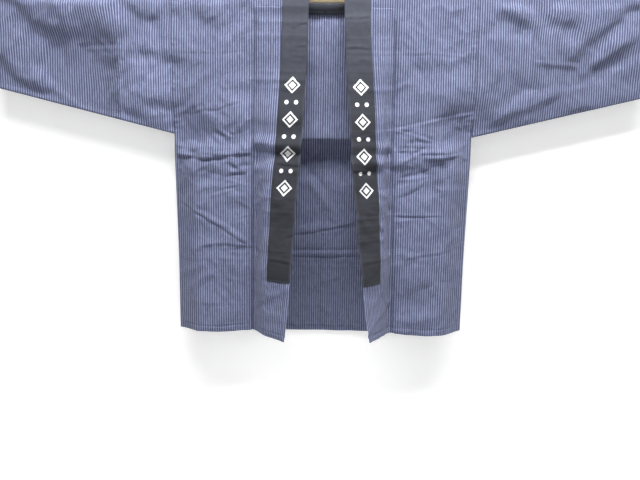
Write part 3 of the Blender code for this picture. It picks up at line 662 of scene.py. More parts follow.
def crumples(x, drop, seed):
    """Soft lumps and sharp-edged wrinkles of several sizes, each size in its own direction."""
    bends = (crumple(x, drop, CRUMPLE_BEND_SIZE, seed + more) for more in BEND_SEEDS)
    bent_x, bent_drop = (at + CRUMPLE_BEND * bend for at, bend in zip((x, drop), bends))
    push = 0.0
    for i, (size, height, sharp, turn) in enumerate(zip(*CRUMPLES.values())):
        turned = math.cos(math.radians(turn)), math.sin(math.radians(turn))
        along = turned[0] * bent_x + turned[1] * bent_drop
        down = turned[0] * bent_drop - turned[1] * bent_x
        lumps = crumple(CRUMPLE_LONG * along, down / CRUMPLE_LONG, size, seed + i)
        ridges = RIDGE_MEAN - np.sqrt(lumps**2 + RIDGE_ROUNDING)
        push = push + height * (ridges if sharp else lumps)
    return push


def body_crumples(x, drop, seed):
    """The same, deeper where the body of the coat is crumpled."""
    gain = read(CRUMPLED, "body", drop)
    for *place, more in zip(*CRUMPLED_MORE.values()):
        gain = gain + more * near_place(x, drop, *place)
    return crumples(x, drop, seed) * gain


def edge_crumples(side, along, drop):
    """And along a front edge, where they run on from the okumi over the collar."""
    return crumples(along, drop, EDGE_SEED + side) * read(CRUMPLED, "edge", drop)


def crease_shape(below, reach):
    """A lean at a line that comes back at once, on both sides of it."""
    return below * near(below, reach)


def fold_shape(below, reach):
    """A lean at a line that comes back slowly, over a few times its width."""
    lean = np.tanh(FOLD_LEANS * below / reach) - np.tanh(FOLD_RETURNS * below / reach)
    return FOLD_HEIGHT * reach * lean


def relief(creases, shape, x, drop):
    """How far the folds or creases of a table push the cloth outwards, at each point."""
    push = np.zeros(np.broadcast(x, drop).shape)
    for x1, drop1, x2, drop2, bow, width, tilt in zip(*creases.values()):
        run_x = x2 - x1
        run_drop = drop2 - drop1
        length = math.hypot(run_x, run_drop)
        t = ((x - x1) * run_x + (drop - drop1) * run_drop) / length**2
        to_end = 2 * np.clip(t, 0, 1) - 1
        below = ((drop - drop1) * run_x - (x - x1) * run_drop) / length
        below = below - bow * (1 - to_end**2)
        past_end = (np.abs(t - 0.5) - 0.5).clip(0) * length
        reach = width * (1 - ENDS_NARROWER * to_end**2)
        fade = near(past_end, min(width, LONGEST_FADE))
        strength = (1 - ENDS_WEAKER * np.abs(to_end) ** 3) * fade
        push -= tilt * strength * shape(below, reach)
    return push


def full_relief(folds, creases, x, drop):
    """The folds and the creases of a face together."""
    return relief(folds, fold_shape, x, drop) + relief(creases, crease_shape, x, drop)


def edge_relief(creases, across, drop):
    """The same for creases that run right across a front edge."""
    push = np.zeros(np.broadcast(across, drop).shape)
    for at, slope, width, tilt in zip(*creases.values()):
        below = drop - at - slope * across
        push -= tilt * below * near(below, width)
    return push


def seam_form(distance, drop):
    """How a seam shapes the cloth beside it: a dip, puckers, and the allowance under one side."""
    puckered = near(distance, ALLOWANCE) * wave(drop, PUCKER_LENGTH)
    puckered = puckered * (PUCKER_EVEN + (1 - PUCKER_EVEN) * wave(drop, PUCKER_SWELL))
    over = eased(distance, *ALLOWANCE_STARTS) * (1 - eased(distance, *ALLOWANCE_ENDS))
    dip = SEAM_DIP * near(distance, SEAM_DIP_REACH)
    return ALLOWANCE_HEIGHT * over + PUCKER_HEIGHT * puckered - dip


def hem_form(above_hem):
    """The hem is turned up inside and stitched: a soft roll with a dimple at the stitches."""
    t = np.clip(above_hem / HEM_DEPTH, 0, 1)
    roll = HEM_PUFF * 4 * t * (1 - t) * (above_hem < HEM_DEPTH)
    return roll - HEM_DIMPLE * HEM_PUFF * near(above_hem - HEM_DEPTH, HEM_STITCH_REACH)


def underarm_drop(out):
    """The drop of the sleeve's lower edge."""
    return ARMPIT_DROP - SLEEVE_RISE * (out - ARMHOLE_OUT)


def side_out(drop):
    """How far out the side seam is, with the armpit drawn in a little by the sleeve's seam."""
    t = np.clip((drop - ARMPIT_DROP) / (LAST_ROW_DROP - ARMPIT_DROP) / SIDE_TAPER, 0, 1)
    drawn_in = ARMPIT_DRAW * near(drop - ARMPIT_DROP, ARMPIT_DRAW_REACH)
    return ARMHOLE_OUT - drawn_in + (HEM_SIDE_OUT - ARMHOLE_OUT) * t


def inside_edge(out, drop):
    """How far inside the coat's side and underarm seams a point lies."""
    to_side = side_out(drop) - out
    to_corner = np.hypot(to_side, ARMPIT_DROP - drop)
    in_body = np.where(drop > ARMPIT_DROP, to_side, to_corner)
    return np.where(out > ARMHOLE_OUT, underarm_drop(out) - drop, in_body)


def hung(out, drop, depth, folded):
    """The depth of folded cloth, closed where front and back meet at a side or underarm seam."""
    inside = inside_edge(out, drop)
    by_armpit = ARMPIT_LENS * (1 - eased(drop, *ARMPIT_LENS_ENDS))
    in_sleeve = np.maximum(eased(out, ARMHOLE_OUT, INSET_OUT), by_armpit)
    lens = spread(SEAM_LENS, SLEEVE_LENS, in_sleeve)
    rolled = EDGE_ROLL * np.sqrt(1 - (1 - np.clip(inside / EDGE_REACH, 0.0, 1.0)) ** 2)
    inwards = np.clip(inside / lens, 0.0, 1.0)
    curve = LENS_SOFT * eased(inwards, 0.0, 1.0) + (1 - LENS_SOFT) * (1 - (1 - inwards) ** 2)
    closed = rolled + (depth - EDGE_ROLL) * curve
    pressed = eased(inside, 0.0, SEAM_PRESS)
    whole = closed + folded * pressed - LEAST_DEPTH
    kept = (whole + np.sqrt(whole**2 + LEAST_DEPTH**2)) / 2 + LEAST_DEPTH
    return kept * pressed + closed * (1 - pressed)


def shoulder_lift(out):
    """How much higher the cloth rides over the rod, beside the collar."""
    return COLLAR_LIFT * (1 - eased(out, *LIFT_FADES_OUT))


def hanging_depth(face, out, drop):
    """How far from the rod's axis smooth cloth hangs, on the front or the back."""
    return read(FALL, face, drop) + shoulder_lift(out) * (1 - eased(drop, *LIFT_FADES_DROP))


def seam_out(side, drop):
    """How far out the okumi's seam is."""
    return read(SWING[side], "seam_out", drop)


def back_hem(out):
    """The drop of the back's hem."""
    return read(BACK_HEM, "drop", out, by="out")


def front_hem(side, out):
    """The drop of the front's hem, outside the okumi's seam."""
    return read(FRONT_HEM, SIDE_NAMES[side], out, by="out")


def hem_row(drop, hem):
    """A row's drop, spread so that the last row lies on the hem."""
    stretch = (drop - ARMPIT_DROP) * (hem - ARMPIT_DROP) / (LAST_ROW_DROP - ARMPIT_DROP)
    return np.where(drop <= ARMPIT_DROP, drop, ARMPIT_DROP + stretch)


def front_edge_row(side, drop):
    """The drop of a row along the okumi and the collar."""
    return hem_row(drop, front_hem(side, seam_out(side, drop)))


def stripe_place(x, drop):
    """Where a point lies across the stripes, with the lean that the drape gives them."""
    across = np.array(np.broadcast_to(x, np.broadcast(x, drop).shape), float)
    for *place, shift in zip(*LEANS.values()):
        across -= shift * (drop - place[1]) * near_place(x, drop, *place)
    return across


def grid(x, y, z, across, down, wear_and_painted_light):
    """A grid of cloth: at each point its place, its cloth coordinates, and its wear with painted
    light.
    """
    return np.stack(np.broadcast_arrays(x, y, z, across, down, wear_and_painted_light), axis=-1)


def sewn_form(x, drop):
    """The armhole's and the inset's seams, and the cuff's hem."""
    out = np.abs(x)
    form = seam_form(np.abs(out - ARMHOLE_OUT), drop) * (drop < ARMPIT_DROP)
    form = form + seam_form(np.abs(out - INSET_OUT), drop)
    return form + hem_form(CUFF_OUT - out)


def hem_wear(above_hem):
    """A hem is rubbed pale at its edge, and drawn darker above that and along its stitches."""
    edge = near(above_hem, HEM_RUBBED_REACH)
    stitched = near(above_hem - HEM_DEPTH, HEM_STITCH_REACH)
    darkened = 1 - eased(above_hem, HEM_DEPTH - HEM_DARK_ENDS, HEM_DEPTH + HEM_DARK_ENDS)
    return HEM_RUBBED * edge - HEM_BAND_DARKER * (darkened + STITCH_LINE_DARKER * stitched)


def inset_painted_step(x, drop):
    """Painted light on the right sleeve's inset and painted shade on the sleeve beside it, for its
    lean.
    """
    out = -x
    inset = (out > ARMHOLE_OUT) * (out < INSET_OUT)
    beside = (out >= INSET_OUT) * near(out - INSET_OUT, INSET_SHADE_REACH)
    return INSET_PAINTED_STEP * (inset - beside) * eased(drop, *INSET_STEP_FADES_IN)


def edge_wear_and_painted_step(x, drop, hem):
    """How worn the cloth is, most at the hem, cuffs and sleeve seams, with the inset's painted
    step.
    """
    out = np.abs(x)
    at_cuff = near(CUFF_OUT - out, RUBBED_REACH)
    at_seam = near(out - INSET_OUT + RUBBED_REACH, RUBBED_REACH)
    return np.maximum(at_cuff, at_seam) + hem_wear(hem - drop) + inset_painted_step(x, drop)


def valley_form(distance):
    """The groove along the okumi's seam."""
    return -VALLEY_DEPTH * near(distance, VALLEY_REACH)


def valley_painted_shade(distance):
    """Painted shade: a thin dark line in the groove along the okumi's seam."""
    return -VALLEY_PAINTED_SHADE * near(distance, VALLEY_SHADE_REACH)


def front_grid(x, drop, hem=1.0, grooved=True):
    """The front from the shoulder down, outside the okumi's seam."""
    out = np.abs(x)
    folded = full_relief(FRONT_FOLDS, FRONT_CREASES, x, drop)
    folded = folded + body_crumples(x, drop, FRONT_SEED)
    folded = folded + sewn_form(x, drop) + hem_form(hem - drop)
    wear_and_painted_light = edge_wear_and_painted_step(x, drop, hem)
    if grooved:
        seam = np.where(x < 0, seam_out(RIGHT, drop), seam_out(LEFT, drop))
        folded = folded + valley_form(out - seam) * below_top(drop)
        # painted shade in the groove along the okumi's seam
        wear_and_painted_light = wear_and_painted_light + valley_painted_shade(out - seam) * below_top(drop)
    depth = hanging_depth("front", out, drop)
    y = -hung(out, drop, depth, folded * eased(drop, *FOLDS_BEGIN))
    return grid(x, y, ROD_TOP_Z - drop, stripe_place(x, drop), drop, wear_and_painted_light)


def down_behind(drop):
    """The cloth's own coordinate at a drop of the back, past its length over the rod."""
    return drop - ROD_RADIUS * 2 - OVER_ROD


def back_grid(x, drop, hem=1.0):
    """The back from the shoulder down."""
    out = np.abs(x)
    folded = full_relief(BACK_FOLDS, BACK_CREASES, x, drop)
    folded = folded + body_crumples(x, drop, BACK_SEED) * eased(drop, *NECK_CALM)
    folded = folded + sewn_form(x, drop) + hem_form(hem - drop) + seam_form(out, drop)
    depth = hanging_depth("back", out, drop)
    y = hung(out, drop, depth, folded * eased(drop, *FOLDS_BEGIN))
    # painted light: the back under the collar drawn paler, lifting the rod's shadow
    by_neck = near(drop - NECK_BACK_DROP, BY_NECK_REACH) * (out < BY_NECK_OUT)
    # painted shade: the lower back drawn darker for the shade inside the coat
    lower_back_shade = BACK_PAINTED_SHADE * eased(drop, *BACK_SHADE_FADES_IN)
    wear_and_painted_light = edge_wear_and_painted_step(x, drop, hem) - lower_back_shade + BY_NECK_PAINTED_LIGHT * by_neck
    return grid(x, y, ROD_TOP_Z - drop, stripe_place(x, drop), down_behind(drop), wear_and_painted_light)


def over_grid(x, run):
    """The cloth at a run over the rod, from its front to its back."""
    radius = SHOULDER_RADIUS + shoulder_lift(np.abs(x))
    angle = math.pi * (0.5 - np.minimum(run, OVER_ROD) / OVER_ROD)
    behind = ROD_RADIUS + np.maximum(run - OVER_ROD, 0.0)
    back = back_grid(x, behind)
    high = ROD_TOP_Z - ROD_RADIUS + radius * np.cos(angle)
    y = np.where(run <= OVER_ROD, -radius * np.sin(angle), back[..., 1])
    z = np.where(run <= OVER_ROD, high, back[..., 2])
    worn_and_painted_light = edge_wear_and_painted_step(x, behind, 1.0)
    return grid(x, y, z, stripe_place(x, 0.0), ROD_RADIUS - run, worn_and_painted_light)


def swung_grid(side, drop, along, off=0.0, wear_and_painted_light=0.0):
    """The cloth of a front edge: along it from the okumi's seam, and off its surface."""
    drop, along, off, wear_and_painted_light = np.broadcast_arrays(drop, along, off, wear_and_painted_light)
    shape = drop.shape
    drop, along, off = (np.ravel(a).astype(float) for a in (drop, along, off))
    okumi_angle = np.radians(read(SWING[side], "okumi_angle", drop))[:, None]
    collar_angle = np.radians(read(SWING[side], "collar_angle", drop))[:, None]
    walk = np.arange(0.0, OKUMI_WIDTH[side] + COLLAR_WIDTH + 2 * SWING_STEP, SWING_STEP)
    turned = eased(walk - OKUMI_WIDTH[side], *COLLAR_TURN)
    angles = okumi_angle * eased(walk, *SEAM_TURN) + (collar_angle - okumi_angle) * turned
    between = (angles[:, 1:] + angles[:, :-1]) / 2
    start = np.zeros((len(drop), 1))
    inwards = np.hstack((start, np.cumsum(np.cos(between) * SWING_STEP, axis=1)))
    forwards = np.hstack((start, np.cumsum(np.sin(between) * SWING_STEP, axis=1)))
    point = np.arange(len(drop))
    i = np.clip((along / SWING_STEP).astype(int), 0, len(walk) - 2)
    t = along / SWING_STEP - i

    def at(values):
        return values[point, i] * (1 - t) + values[point, i + 1] * t

    angle = at(angles)
    out = seam_out(side, drop)
    base = front_grid(side * out, drop, grooved=False)
    x = side * (out - at(inwards) + off * np.sin(angle))
    y = base[:, 1] - at(forwards) - off * np.cos(angle)
    lifted = shoulder_lift(np.abs(x)) - shoulder_lift(out)
    y = y - lifted * (1 - eased(drop, *LIFT_FADES_DROP))
    cloth = grid(x, y, ROD_TOP_Z - drop, side * (out - along), drop, np.ravel(wear_and_painted_light))
    return cloth.reshape(*shape, -1)


def neck_runs():
    """How far over the rod, from where the cloth meets its front, each row of the neck lies."""
    over = np.linspace(0, OVER_ROD, SHOULDER_STEPS + 1)
    steps = np.linspace(0, 1, NECK_BACK_STEPS + 1)[1:]
    behind = (NECK_BACK_DROP - ROD_RADIUS) * np.sin(steps * math.pi / 2)
    return np.concatenate((over, OVER_ROD + behind))


NECK_RUNS = neck_runs()
NECK_STEPS = len(NECK_RUNS) - 1


def neck_x(side, run):
    """Where the collar is sewn on, at a run over the rod."""
    share = np.maximum(run - NECK_CURVE_START, 0) / (NECK_RUNS[-1] - NECK_CURVE_START)
    half_width = (1 - np.minimum(share, 1) ** NECK_ROUNDNESS) ** (1 / NECK_ROUNDNESS)
    return side * (seam_out(side, ROD_RADIUS) - OKUMI_WIDTH[side]) * half_width


def neck_point(side, step):
    """The point at which the collar is sewn on, at one of the neck's stations."""
    run = NECK_RUNS[step]
    return over_grid(neck_x(side, run), run)[PLACE]


def collar_directions(side, step):
    """Where the collar's width points at a neck station, and the normal of its outer ply."""
    t = step / NECK_STEPS
    rise = math.radians(90 * t**COLLAR_RISE_POWER)
    width = np.array((-side * math.cos(rise), COLLAR_BACK_LEAN * t, math.sin(rise)))
    width /= np.linalg.norm(width)
    after = neck_point(side, min(step + 1, NECK_STEPS))
    before = neck_point(side, max(step - 1, 0))
    if step == 0:
        before = front_grid(neck_x(side, 0.0), ROD_RADIUS + NECK_RUNS[1])[PLACE]
    along = after - before
    if step == NECK_STEPS:
        along = np.array((-side, 0.0, 0.0))
    normal = np.cross(along, width) * side
    return width, normal / np.linalg.norm(normal)


# The shares of a row's columns: from the neck or the middle seam outwards, and then on to the
# side seam or the armhole.
INNER_SHARES = spaced(0, 1, step=0.034)[:-1]
OUTER_SHARES = spaced(0, 1, beside=(0.0, 1.0), step=0.025, fine=0.011)
FRONT_UPPER = np.concatenate((
    spaced(ROD_RADIUS, OKUMI_TOP_DROP - SEAM_GAP / 2, step=ROW_STEP)[:-1],
    spaced(OKUMI_TOP_DROP - SEAM_GAP / 2, ARMPIT_DROP, step=ROW_STEP)[:-1],
))
ABOVE_OKUMI_ROWS = int(np.searchsorted(FRONT_UPPER, OKUMI_TOP_DROP - SEAM_GAP)) + 1
BACK_UPPER = spaced(NECK_BACK_DROP, ARMPIT_DROP)[:-1]
HEM_ROWS = (LAST_ROW_DROP - HEM_DEPTH, LAST_ROW_DROP)
LOWER = spaced(ARMPIT_DROP, LAST_ROW_DROP, beside=HEM_ROWS, step=ROW_STEP)
# The shares of a sleeve's height at which its rings have points.
RING_SHARES = spaced(0, 1, beside=(0.48, 0.98, 0.995), step=0.0165, fine=0.006)[:-1]


def body_front(side):
    """The front from the okumi's seam to the side seam or the armhole."""
    drops = np.concatenate((FRONT_UPPER, LOWER))[:, None]
    seam = seam_out(side, drops) + SEAM_GAP / 2
    rows = hem_row(drops, front_hem(side, spread(seam, side_out(drops), OUTER_SHARES)))
    out = spread(seam, side_out(rows), OUTER_SHARES)
    return front_grid(side * out, rows, front_hem(side, out))


def body_above_okumi(side):
    """The front between the neck's raw edge and the okumi's seam line, above the okumi."""
    edge = OKUMI_WIDTH[side]
    along = np.concatenate(([edge + COLLAR_HOLDS], edge * (1 - INNER_SHARES)))
    return swung_grid(side, FRONT_UPPER[:ABOVE_OKUMI_ROWS, None], along)


def body_over(side, first_row):
    """The shoulder, from the neck to the armhole, over the rod and down to the back neck."""
    rows = [first_row]
    outer_x = side * spread(BACK_PANEL_OUT, ARMHOLE_OUT, OUTER_SHARES)
    for step in range(1, NECK_STEPS + 1):
        run = NECK_RUNS[step]
        x = side * max(side * neck_x(side, run), SEAM_GAP / 2)
        width, _ = collar_directions(side, step)
        inner = over_grid(spread(x, side * BACK_PANEL_OUT, INNER_SHARES), run)
        raw = inner[0].copy()
        raw[PLACE] = neck_point(side, step) + COLLAR_HOLDS * width
        raw[0] = side * max(side * raw[0], SEAM_GAP / 2)
        rows.append(np.concatenate((raw[None], inner, over_grid(outer_x, run))))
    return np.stack(rows)


def body_back(side, first_row):
    """The back from the middle seam to the side seam or the armhole."""
    drops = np.concatenate((BACK_UPPER, LOWER))[:, None]
    inner = np.maximum(BACK_PANEL_OUT * INNER_SHARES, SEAM_GAP / 2)
    inner_rows = hem_row(drops, back_hem(inner))
    outer = spread(BACK_PANEL_OUT, side_out(drops), OUTER_SHARES)
    outer_rows = hem_row(drops, back_hem(outer))
    outer = spread(BACK_PANEL_OUT, side_out(outer_rows), OUTER_SHARES)
    inner = np.broadcast_to(inner, inner_rows.shape)
    inside = back_grid(side * inner, inner_rows, back_hem(inner))
    outside = back_grid(side * outer, outer_rows, back_hem(outer))
    back = np.concatenate((inside, outside), axis=1)
    back[0] = first_row
    return back


def cloth_piece(name, grids, material, thickness):
    """One piece of cloth from its grids, joined where they meet."""
    faces = []
    start = 0
    for cloth in grids:
        rows, columns = cloth.shape[:2]
        index = start + np.arange(rows * columns).reshape(rows, columns)
        corners = (index[:-1, :-1], index[:-1, 1:], index[1:, 1:], index[1:, :-1])
        faces.append(np.stack(corners, axis=-1).reshape(-1, 4))
        start += rows * columns
    points = np.concatenate([cloth.reshape(-1, cloth.shape[-1]) for cloth in grids])
    data = bpy.data.meshes.new(name)
    data.from_pydata(points[:, PLACE].tolist(), [], np.concatenate(faces).tolist())
    corner_points = np.empty(len(data.loops), np.int32)
    data.loops.foreach_get("vertex_index", corner_points)
    layer = data.uv_layers.new(name="cloth")
    uv = points[corner_points, ACROSS : DOWN + 1]
    layer.data.foreach_set("uv", uv.astype(np.float32).ravel())
    wear_and_painted_light = data.attributes.new("wear_and_painted_light", "FLOAT", "POINT")
    wear_and_painted_light.data.foreach_set("value", points[:, WEAR_AND_PAINTED_LIGHT].astype(np.float32))
    mesh = bmesh.new()
    mesh.from_mesh(data)
    bmesh.ops.remove_doubles(mesh, verts=mesh.verts, dist=MERGE_DISTANCE)
    bmesh.ops.recalc_face_normals(mesh, faces=mesh.faces)
    mesh.to_mesh(data)
    mesh.free()
    data.shade_smooth()
    data.materials.append(material)
    piece = bpy.data.objects.new(name, data)
    bpy.context.collection.objects.link(piece)
    wall = piece.modifiers.new("cloth", "SOLIDIFY")
    wall.thickness = thickness
    wall.offset = 0.0
    wall.use_even_offset = True
    wall.thickness_clamp = SHELL_CLAMP
    return piece


def make_body(side, material, thickness):
    """A half of the body: its front, shoulder and back are one length of cloth."""
    front = body_front(side)
    above = body_above_okumi(side)
    above = np.concatenate((above, front[:ABOVE_OKUMI_ROWS, :1]), axis=1)
    over = body_over(side, np.concatenate((above[0, :-1], front[0])))
    back = body_back(side, over[-1, 1:])
    grids = (front, above, over, back)
    return cloth_piece(SIDE_NAMES[side] + "_body_panel", grids, material, thickness)


def below_top(drop):
    """0 above the okumi, and 1 from a little below its top."""
    return eased(drop, OKUMI_TOP_DROP, 2 * OKUMI_TOP_DROP)


def okumi_grid(side, drops, along):
    """A stretch of the okumi. Below the collar its rows spread to its own hem."""
    full_width = OKUMI_WIDTH[side] + COLLAR_WIDTH
    drops = drops[:, None]
    seam_hem = front_hem(side, seam_out(side, drops))
    below_collar = np.clip((drops - COLLAR_END_ROW) / (LAST_ROW_DROP - COLLAR_END_ROW), 0, 1)
    lower = (FRONT_EDGE_DROP[side] - seam_hem) * along / full_width
    rows = front_edge_row(side, drops) + lower * below_collar
    above_hem = seam_hem + lower - rows
    free_edge = (full_width - along) + NO_EDGE * (drops < COLLAR_END_ROW)
    off = edge_relief(EDGE_CREASES[side], along, rows) + edge_crumples(side, along, rows)
    off = off + hem_form(above_hem) + hem_form(free_edge)
    off = off * eased(along, 0.0, OKUMI_PRESS) * below_top(rows)
    off = off + valley_form(along) * below_top(rows)
    edge = OKUMI_WIDTH[side]
    proud = 1 - eased(along, edge - TUCK_STARTS, edge - TUCK_WHOLE)
    lapped = LAP_HEIGHT * proud - TUCK_DEPTH * (1 - proud)
    off = off + lapped * (1 - eased(drops, OKUMI_TOP_DROP, OKUMI_TOP_DROP + TUCK_REACH))
    wear_and_painted_light = np.maximum(hem_wear(above_hem), near(free_edge, RUBBED_REACH))
    # painted shade in the groove along the okumi's seam
    wear_and_painted_light = wear_and_painted_light + valley_painted_shade(along) * below_top(rows)
    return swung_grid(side, rows, along, off, wear_and_painted_light)


def make_okumi(side, material, thickness):
    """The narrow panel that widens each front."""
    edge = OKUMI_WIDTH[side] + COLLAR_HOLDS
    full_width = OKUMI_WIDTH[side] + COLLAR_WIDTH
    top = OKUMI_TOP_DROP - OKUMI_LAP
    upper = spaced(top, COLLAR_END_ROW, beside=HEM_ROWS, step=ROW_STEP)
    lower = spaced(COLLAR_END_ROW + SEAM_GAP, LAST_ROW_DROP, beside=HEM_ROWS, step=ROW_STEP)
    narrow = spaced(SEAM_GAP / 2, edge, beside=(0.0,), step=OKUMI_STEP)
    wide = spaced(edge, full_width, beside=(full_width,), step=OKUMI_STEP)
    grids = (
        okumi_grid(side, np.concatenate((upper, lower)), narrow),
        okumi_grid(side, lower, wide),
    )
    return cloth_piece(SIDE_NAMES[side] + "_okumi_panel", grids, material, thickness)


def sleeve_grid(side, outs):
    """Rings round a sleeve, from the underarm seam up its front, over the rod and down."""
    x = side * outs[:, None]
    low = underarm_drop(outs)[:, None]
    drops = spread(ROD_RADIUS, low, RING_SHARES)
    runs = np.linspace(0, OVER_ROD, SHOULDER_STEPS + 1)[1:-1]
    seam = grid(x, 0.0, ROD_TOP_Z - low, stripe_place(x, low), low, 0.0)
    front = front_grid(x, drops[:, ::-1])
    over = over_grid(x, runs[None, :])
    back = back_grid(x, drops)
    below = seam.copy()
    below[..., DOWN] = down_behind(low)
    return np.concatenate((seam, front, over, back, below), axis=1)


def make_sleeve_part(name, side, start, end, material, thickness):
    """An inset or an outer sleeve: a tube between two seams, or a seam and the cuff."""
    outs = spaced(start, end, beside=(start, end))
    return cloth_piece(SIDE_NAMES[side] + name, (sleeve_grid(side, outs),), material, thickness)


def collar_section():
    """The folded band's middle line: how far across, off and round the band each point is."""
    fold = COLLAR_WIDTH - COLLAR_HALF_PLY
    outer = spaced(0.0, fold, beside=(0.0, fold))
    turn = np.radians(PLY_TURN)
    across = np.concatenate((outer, fold + COLLAR_HALF_PLY * np.cos(turn), outer[::-1]))
    flat = np.full_like(outer, COLLAR_HALF_PLY)
    off = np.concatenate((flat, COLLAR_HALF_PLY * np.sin(turn), -flat))
    round_fold = fold + COLLAR_HALF_PLY * (math.pi / 2 - turn)
    round_it = np.concatenate((outer, round_fold, 2 * COLLAR_WIDTH - outer[::-1]))
    return across, off, round_it


def collar_form(side, across, drop, off):
    """How far the collar's creases and its sewn edge move the middle of each ply."""
    along = across + OKUMI_WIDTH[side]
    push = edge_relief(EDGE_CREASES[side], along, drop) + edge_crumples(side, along, drop)
    own = relief(COLLAR_CREASES[side], crease_shape, across, drop)
    own = own * eased(across, 0.0, COLLAR_PRESS)
    crumpled = COLLAR_CRUMPLED * crumples(across, drop, COLLAR_SEED + side)
    own = own + crumpled * eased(across, 0.0, 2 * COLLAR_PRESS)
    drawn = np.sign(off) * COLLAR_SEWN_DRAW * near(across, COLLAR_SEWN_REACH)
    return push * below_top(drop) + own * eased(drop, *COLLAR_CREASES_BEGIN) - drawn


def collar_wear_and_painted_light(across, rows):
    """How pale the collar is: painted light at the neck, rubbed along its fold and at its lower
    end.
    """
    wear_and_painted_light = near(COLLAR_WIDTH - across, COLLAR_EDGE_REACH)
    wear_and_painted_light = np.maximum(wear_and_painted_light, near(rows[0] - rows, RUBBED_REACH))
    # painted light where the collar's top meets the rod
    wear_and_painted_light = np.maximum(wear_and_painted_light, NECK_PAINTED_LIGHT * (1 - eased(rows, 0.0, NECK_LIGHT_ENDS)))
    return wear_and_painted_light - COLLAR_END_DARKER * eased(rows, *COLLAR_FOLDED)


def collar_half(side):
    """The band's rows from its lower end on one side up to the middle of the back neck."""
    across, off, round_it = collar_section()
    drops = spaced(ROD_RADIUS, COLLAR_END_ROW, beside=(COLLAR_END_ROW,), step=ROW_STEP)
    drops = drops[::-1, None]
    rows = front_edge_row(side, drops)
    moved = off + collar_form(side, across, rows, off)
    wear_and_painted_light = collar_wear_and_painted_light(across, rows)
    band = swung_grid(side, rows, OKUMI_WIDTH[side] + across, moved, wear_and_painted_light)
    band[..., ACROSS] = round_it
    band[..., DOWN] = rows[0] - rows
    lines = [band]
    length = float((rows[0] - rows[-1])[0])
    for step in range(1, NECK_STEPS + 1):
        width, normal = collar_directions(side, step)
        place = neck_point(side, step) + across[:, None] * width + off[:, None] * normal
        here = length + NECK_RUNS[step]
        # painted light on the collar at the back of the neck, in the rod's shadow
        worn_and_painted_light = wear_and_painted_light[-1] + (NECK_BACK_PAINTED_LIGHT - NECK_PAINTED_LIGHT) * step / NECK_STEPS
        lines.append(grid(*place.T, round_it, here, worn_and_painted_light)[None])
    return np.concatenate(lines)


def make_collar(material, thickness):
    """The black band round the neck and down both fronts."""
    right = collar_half(RIGHT)
    left = collar_half(LEFT)
    middle = (right[-1] + left[-1]) / 2
    rows_right = np.concatenate((right[:-1], middle[None]))
    rows_left = np.concatenate((left[:-1], middle[None]))
    return cloth_piece("collar_band", (rows_right, rows_left[::-1]), material, thickness)


class Nodes:
    """Adds nodes to one node tree. Each value is a socket, or a number or colour."""

    def __init__(self, tree):
        self.tree = tree

    def put(self, value, socket):
        """Link a socket to another, or set it to a plain value."""
        if isinstance(value, bpy.types.NodeSocket):
            self.tree.links.new(value, socket)
        else:
            socket.default_value = value

    def add(self, kind, inputs=(), **settings):
        """A node with its settings and the values of its inputs."""
        made = self.tree.nodes.new(kind)
        for name, value in settings.items():
            setattr(made, name, value)
        for key, value in dict(inputs).items():
            self.put(value, made.inputs[key])
        return made

    def math(self, operation, *values):
        return self.add("ShaderNodeMath", enumerate(values), operation=operation).outputs[0]

    def times(self, *values):
        return self.math("MULTIPLY", *values)

    def plus(self, *values):
        return self.math("ADD", *values)

    def minus(self, *values):
        return self.math("SUBTRACT", *values)

    def times_plus(self, value, gain, added):
        return self.math("MULTIPLY_ADD", value, gain, added)

    def ramp(self, value, low, high):
        """0 to 1 as the value goes from low to high, with soft ends."""
        inputs = {"Value": value, "From Min": low, "From Max": high}
        made = self.add("ShaderNodeMapRange", inputs, interpolation_type="SMOOTHSTEP")
        return made.outputs["Result"]

    def noise(self, place, scale, detail=2.0):
        inputs = {"Vector": place, "Scale": scale, "Detail": detail}
        return self.add("ShaderNodeTexNoise", inputs).outputs["Fac"]

    def streaks(self, place, scales, detail=2.0):
        """Noise with a scale of its own along each axis."""
        scaled = self.add("ShaderNodeVectorMath", {0: place, 1: scales}, operation="MULTIPLY")
        return self.noise(scaled.outputs["Vector"], 1.0, detail)

    def mix(self, share, first, second):
        """The first colour where the share is 0, and the second where it is 1."""
        made = self.add("ShaderNodeMix", {0: share, 6: first, 7: second}, data_type="RGBA")
        return made.outputs[2]

    def parts(self, place):
        """The first two coordinates of a place."""
        made = self.add("ShaderNodeSeparateXYZ", {"Vector": place})
        return made.outputs[0], made.outputs[1]

    def group(self, name, **inputs):
        """The outputs of a shared node group."""
        shared = bpy.data.node_groups[name]
        return self.add("ShaderNodeGroup", inputs, node_tree=shared).outputs

    def finish(self, shader, colour, height, distance, strength):
        """Give the shader its colour, and a fine relief that is up to a distance high."""
        self.put(colour, shader.inputs["Base Color"])
        inputs = {"Height": height, "Distance": distance, "Strength": strength}
        self.put(self.add("ShaderNodeBump", inputs).outputs["Normal"], shader.inputs["Normal"])


def new_group(name, inputs, outputs):
    """An empty node group on cloth coordinates, with number sockets and its end nodes."""
    group = bpy.data.node_groups.new(name, "ShaderNodeTree")
    group.interface.new_socket("Cloth", in_out="INPUT", socket_type="NodeSocketVector")
    for in_out, names in (("INPUT", inputs), ("OUTPUT", outputs)):
        for socket in names:
            group.interface.new_socket(socket, in_out=in_out, socket_type="NodeSocketFloat")
    nodes = Nodes(group)
    return nodes, nodes.add("NodeGroupInput").outputs, nodes.add("NodeGroupOutput").inputs


